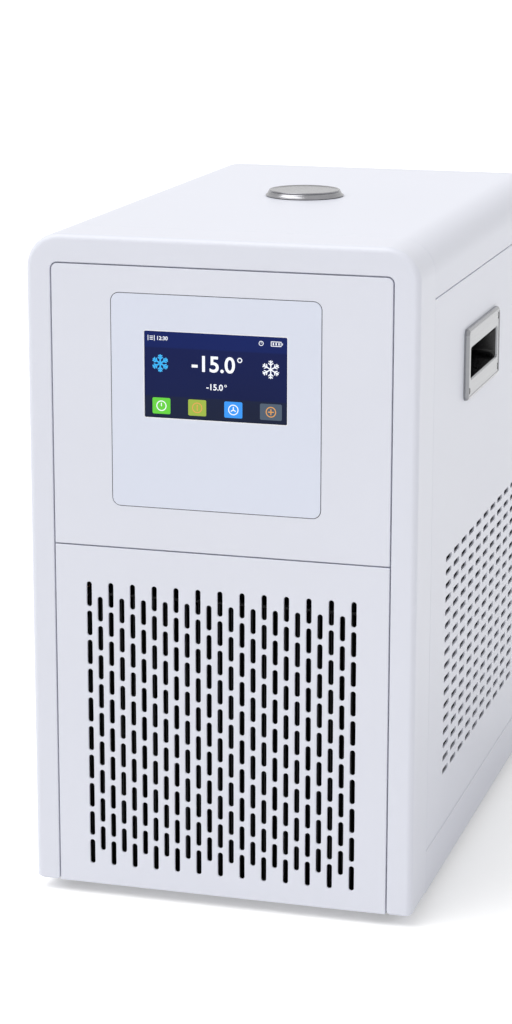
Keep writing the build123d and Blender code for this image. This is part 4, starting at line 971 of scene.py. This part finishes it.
def makeCap():
    base = extent("top_cover")[1].z + 0.3
    spigot = filler["spigot"]
    profile = [(0, -14.0), (spigot - 1.0, -14.0), (spigot, -13.0), (spigot, 0.0), (31.0, 0.0), (31.4, 0.25),
               (31.4, 0.75), (31.15, 1.0), (30.5, 1.35), (29.9, 2.1), (29.45, 3.0), (29.2, 3.45), (28.75, 3.6),
               (28.45, 3.8), (28.4, 3.95), (28.6, 4.1), (28.62, 4.4), (28.5, 4.75), (28.15, 4.97), (27.6, 5.0),
               (27.0, 4.9), (26.5, 4.6), (26.2, 4.5), (25.0, 4.46), (12.0, 4.4), (0, 4.38)]
    bm = bmesh.new()
    turned(bm, profile, fillerCentre, base, 96)
    centre = at(*fillerCentre, 0)
    steel = turnedSteel("cap_steel", (0.31, 0.31, 0.325), centre, 0.24)
    return finished(bm, "filler_cap_turned", steel, "cap", ["filler_cap"], sharp=50)


def makeSeal():
    low, high = extent("cap_seal")
    bm = bmesh.new()
    middle = (low.z + high.z) / 2
    half = (high.z - low.z) / 2
    outer, inner = filler["neck"], filler["seal"]
    profile = [(inner, middle), (inner + 0.4, middle + half), (outer - 0.4, middle + half), (outer, middle),
               (outer - 0.4, middle - half), (inner + 0.4, middle - half), (inner, middle)]
    turned(bm, profile, fillerCentre)
    return finished(bm, "cap_seal_ring", rubber, frameBody("cap_seal"), ["cap_seal"])


def makeTankLid():
    low, high = extent("tank_lid")
    lidTop = low.z + sheet
    bm = bmesh.new()
    neck = filler["neck"] - filler["neckWall"]
    centre = ((low.x + high.x) / 2, (low.y + high.y) / 2)
    size = (high.x - low.x, high.y - low.y)
    outside = plateRings(bm, *size, 6.0, centre, [(0, low.z), (0, lidTop - 0.4), (0.4, lidTop)],
                         toPoint=lambda height: lambda u, v: at(u, v, height))
    skin(bm, outside)
    collar = [(filler["neck"] + 3.0, lidTop), (filler["neck"] + 0.8, lidTop + 0.7), (filler["neck"], lidTop + 2.5),
              (filler["neck"], high.z - 0.6), (filler["neck"] - 0.5, high.z), (neck + 0.5, high.z),
              (neck, high.z - 0.6), (neck, low.z)]
    rings = [ring(bm, [at(u, v, height) for u, v in circle(radius, fillerCentre, 64)]) for radius, height in collar]
    skin(bm, rings)
    pane(bm, outside[-1], rings[0])
    pane(bm, outside[0], rings[-1])
    return finished(bm, "tank_lid_sheet", innerSteel, replaces=["tank_lid"])


makeCover()
makeCap()
makeSeal()
makeTankLid()
report("top")


# Feet: turned rubber buffers with a screw hole
def makeFeet():
    low, high = extent("rubber_feet")
    radius = 12.0
    profile = [(0, -4.0), (3.0, -4.0), (3.2, -4.2), (3.2, -8.6), (3.6, -9.0), (radius - 2.2, -9.0),
               (radius - 1.3, -8.6), (radius - 1.0, -7.8), (radius - 0.2, -1.2), (radius, -0.6), (radius, 0), (0, 0)]
    bm = bmesh.new()
    for x in (low.x + radius, high.x - radius):
        for depth in (low.y + radius, high.y - radius):
            turned(bm, profile, (x, depth), steps=40)
    return finished(bm, "feet_turned", rubber, replaces=["rubber_feet"])


makeFeet()
softened("base_tray", trayCoat, 0.6, steps=3)
report("feet and tray")


# Rear panel with its air slots, and everything screwed to it
rear = dict(ventX=-12.0, ventBottom=150.0, ventCount=12, ventPitch=12.0, ventLength=110.0, ventWidth=5.0, edge=0.7,
            screwRadius=3.2, screwHeight=1.6, screwMargin=12.0, foot=34.5, fittingHole=8.2, drainHole=6.2,
            inletHole=(27.4, 19.9), switchHole=(13.4, 18.9))
fittingX = (extent("outlet_fitting")[0].x + extent("outlet_fitting")[1].x) / 2
drainX = (extent("drain_valve")[0].x + extent("drain_valve")[1].x) / 2


def middleOf(node):
    low, high = extent(node)
    return ((low.x + high.x) / 2, (low.z + high.z) / 2)


def behind(depth):
    # Planes that face the rear: depth into the panel counts forwards
    return lambda u, v: at(u, casingDepth - depth, v)


def makeRearPanel():
    bm = bmesh.new()
    foot = extent("rear_panel")[0].z
    stations = archStations(halfWidth, foot, casingHeight, 26.0, 16)
    rings = []
    for inset, depth in [(0, sheet)] + rounding(rear["edge"]):
        line = [((x - outX * inset), max(z - outZ * inset, foot + inset)) for (x, z), (outX, outZ), _ in stations]
        rings.append(ring(bm, [behind(depth)(u, v) for u, v in line]))
    skin(bm, rings)
    cuts = []
    for number in range(rear["ventCount"]):
        middle = (rear["ventX"], rear["ventBottom"] + number * rear["ventPitch"])
        cuts.append(outline(rear["ventLength"], rear["ventWidth"], rear["ventWidth"] / 2 - 0.01, middle, 6))
    for node in ("outlet_fitting", "inlet_fitting"):
        cuts.append(circle(rear["fittingHole"], (fittingX, middleOf(node)[1]), 24))
    cuts.append(circle(rear["drainHole"], (drainX, middleOf("drain_valve")[1]), 24))
    cuts.append(outline(*rear["inletHole"], 1.0, middleOf("mains_inlet"), 3))
    cuts.append(outline(*rear["switchHole"], 1.0, middleOf("switch_frame"), 3))
    loops = {depth: [ring(bm, [behind(depth)(u, v) for u, v in cut]) for cut in cuts] for depth in (0, sheet)}
    for front, back in zip(loops[0], loops[sheet]):
        skin(bm, [front, back])
    pane(bm, rings[-1], *loops[0])
    pane(bm, rings[0], *loops[sheet])
    return finished(bm, "rear_panel_sheet", whiteCoat, replaces=["rear_panel"])


def makeRearScrews():
    bm = bmesh.new()
    margin = rear["screwMargin"]
    spots = [(side * (halfWidth - margin), height) for side in (-1, 1) for height in (60.0, 190.0, 320.0, 440.0)]
    spots += [(x, casingHeight - margin) for x in (-90.0, 0.0, 90.0)]
    spots += [(x, rear["foot"] + margin) for x in (-45.0, 70.0)]
    for spot in spots:
        hexScrew(bm, spot, rear["screwRadius"], rear["screwHeight"], behind)
    return finished(bm, "rear_screws", innerSteel)


fitting = dict(flat=12.0, turnedFlat=11.0, crest=8.0, root=7.35, pitch=1.0, turns=16, bore=5.0, length=26.0)


def makeFitting(node):
    spec = fitting
    centre = (fittingX, middleOf(node)[1])
    flat, round, crest, root, bore, length = (
        spec[key] for key in ("flat", "turnedFlat", "crest", "root", "bore", "length"))
    bm = bmesh.new()

    def rings(profile):
        # Only the hexagon's flats are wider than its turned corners
        return [ring(bm, [at(u, casingDepth + out, v) for u, v in circle(radius, centre, 48, 6 * (radius == flat))])
                for radius, out in profile]

    # Hexagon with turned corners, then the thread and the bore, and the nut inside the panel
    profile = [(round, 0.0), (flat, 0.9), (flat, 7.1), (round, 8.0), (root, 8.0)]
    for turn in range(spec["turns"]):
        start = 8.6 + turn * spec["pitch"]
        profile += [(root, start), (crest, start + 0.35), (crest, start + 0.55), (root, start + 0.9)]
    profile += [(root, length - 1.0), (root - 0.5, length), (bore + 0.6, length), (bore, length - 0.6),
                (bore, -14.5), (7.0, -14.5), (7.5, -8.0), (crest, -6.5), (crest, 0.0)]
    stub = rings(profile)
    skin(bm, stub + stub[:1], laced=True)
    skin(bm, rings([(round, -6.5), (flat, -5.8), (flat, -2.2), (round, -1.5)]), laced=True)
    return finished(bm, node + "_turned", nickel, frameBody(node), [node], sharp=30)


makeRearPanel()
makeRearScrews()
makeFitting("outlet_fitting")
makeFitting("inlet_fitting")
softened("drain_valve", nickel, 0.5)
softened("drain_lever", leverRed, 1.1, frameBody("drain_lever"), 3)
softened("mains_inlet", blackPlastic, 0.5)
softened("switch_frame", blackPlastic, 0.5)
softened("power_rocker", blackPlastic, 0.5, frameBody("power_rocker"), 3)
report("rear")


# Condenser with fine fins in a frame, coloured near black as painted shade behind the grille
condenser = dict(finPitch=3.2, finThickness=0.5, margin=6.0)


def makeCondenser():
    low, high = extent("condenser")
    bm = bmesh.new()
    thickness = condenser["finThickness"]
    count = int((high.x - low.x - condenser["margin"]) / condenser["finPitch"])
    for number in range(count):
        x = (number - (count - 1) / 2) * condenser["finPitch"]
        bar(bm, (x - thickness / 2, low.y + 0.5, low.z + 2), (x + thickness / 2, high.y - 0.5, high.z - 2), 0.1)
    for start, end in ((low.z, low.z + 2), (high.z - 2, high.z)):
        bar(bm, (low.x, low.y, start), (high.x, high.y, end))
    for start, end in ((low.x, low.x + 2), (high.x - 2, high.x)):
        bar(bm, (start, low.y, low.z + 2), (end, high.y, high.z - 2))
    # A black sheet across the whole condenser, painted shade that closes the view through the grille slots
    bar(bm, (low.x + 2, low.y + 14, low.z + 2), (high.x - 2, low.y + 15, high.z - 2), 0.1)
    return finished(bm, "condenser_fins", finShadeBlack, replaces=["condenser"])


makeCondenser()

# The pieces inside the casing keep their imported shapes, with rounded edges where they can be seen in a pose
inside = {
    "galvanised": (galvanised, dict(reservoir_shelf=0.5, fan_shroud=0.4, fan_bracket=0.4, electrical_box=0.4)),
    "steel": (innerSteel, dict(reservoir_tank=0.4, temperature_probe=0.4)),
    "board": (boardGreen, dict(controller_board=0.3, relay_board=0.3)),
    "motor": (motorPaint, dict(fan_motor=1.5, compressor=2.0, pump_motor=1.2)),
    "fan": (blackPlastic, dict(fan_blades=0.4, pump_impeller=0.3)),
    "copper": (copper, dict(evaporator_coil=0.8, discharge_line=0.8, liquid_line=0.6, filter_drier=1.0,
                            capillary_tube=0.5, suction_line=0.8)),
    "hose": (hoseRubber, dict(feed_hose=1.5, supply_hose=1.5, return_hose=1.5, drain_hose=1.2)),
    "foam": (foam, dict(tank_insulation=1.5)),
    "foot_rubber": (rubber, dict(compressor_mounts=1.0)),
    "pump": (pumpCast, dict(pump_housing=0.8)),
    "supply_case": (supplyCase, dict(power_supply=0.6)),
    "black_plastic": (blackPlastic, dict(mains_cable=0.5)),
}
for kind, (material, edges) in inside.items():
    for node, edge in edges.items():
        softened(node, material, edge, frameBody(node))
report("inside")


# Stage: pale floor, soft lamps and the camera of the photograph
def seenDirectly(tree):
    # Rays that show the white background: straight from the camera, off metal or through glass
    rays = tree.nodes.new("ShaderNodeLightPath")
    seen = Signal(tree, rays.outputs["Is Camera Ray"])
    for kind in ("Is Glossy Ray", "Is Transmission Ray"):
        seen = seen.maths("MAXIMUM", Signal(tree, rays.outputs[kind]))
    return seen


def makeFloor():
    finish = Finish("floor_white", (0.9, 0.9, 0.9), 0.9)
    tree = finish.tree
    dust = finish.noise(3.0, 2.0)
    finish.plug("Roughness", dust * 0.1 + 0.8)
    finish.plug("Emission Color", (1, 1, 1, 1))
    finish.plug("Emission Strength", seenDirectly(tree) * 0.3)
    bm = bmesh.new()
    bmesh.ops.create_circle(bm, cap_ends=True, segments=64, radius=60)
    mesh = bpy.data.meshes.new("floor")
    bm.to_mesh(mesh)
    bm.free()
    mesh.materials.append(finish.material)
    floor = bpy.data.objects.new("floor", mesh)
    scene.collection.objects.link(floor)


def makeWorld():
    world = bpy.data.worlds.new("studio")
    world.use_nodes = True
    scene.world = world
    tree = world.node_tree
    strength = seenDirectly(tree) * (1.0 - studio["ambient"]) + studio["ambient"]
    background = tree.nodes["Background"]
    background.inputs["Color"].default_value = (1, 1, 1, 1)
    tree.links.new(strength.socket, background.inputs["Strength"])


def makeSun(name, azimuth, elevation, strength, spread):
    # Azimuth 0 stands in front of the machine and 90 on its right
    lamp = bpy.data.lights.new(name, "SUN")
    lamp.energy = strength
    lamp.angle = math.radians(spread)
    holder = bpy.data.objects.new(name, lamp)
    a, e = math.radians(azimuth), math.radians(elevation)
    towards = Vector((math.sin(a) * math.cos(e), -math.cos(a) * math.cos(e), math.sin(e)))
    holder.rotation_mode = "QUATERNION"
    holder.rotation_quaternion = towards.to_track_quat("Z", "Y")
    holder.location = towards * 5
    scene.collection.objects.link(holder)


studio = dict(ambient=0.58, keyAzimuth=-57.0, keyElevation=60.0, keyStrength=1.75, keySpread=50.0)
photo = dict(width=512, height=1024, focalPixels=2742.08, position=(566.3, -2111.1, 786.3), yaw=-16.1, pitch=-13.75,
             roll=0.07, sensor=36.0)


def makeCamera():
    # Camera of the photograph: yaw turns left, pitch looks down
    lens = bpy.data.cameras.new("camera")
    lens.sensor_width = photo["sensor"]
    lens.lens = photo["focalPixels"] / photo["height"] * photo["sensor"]
    lens.clip_start = 0.05
    lens.clip_end = 100
    holder = bpy.data.objects.new("camera", lens)
    holder.location = Vector(photo["position"]) * mm
    yaw, pitch = math.radians(photo["yaw"]), math.radians(photo["pitch"])
    forward = Vector((math.sin(yaw) * math.cos(pitch), math.cos(yaw) * math.cos(pitch), math.sin(pitch)))
    right = Vector((math.cos(yaw), -math.sin(yaw), 0))
    up = right.cross(forward)
    holder.matrix_world = Matrix.Translation(holder.location) @ Matrix(
        (right, up, -forward)).transposed().to_4x4() @ Matrix.Rotation(math.radians(photo["roll"]), 4, "Z")
    scene.collection.objects.link(holder)
    scene.camera = holder


makeFloor()
makeWorld()
makeSun("key", studio["keyAzimuth"], studio["keyElevation"], studio["keyStrength"], studio["keySpread"])
makeCamera()
scene.view_settings.view_transform = "Standard"
report("stage")
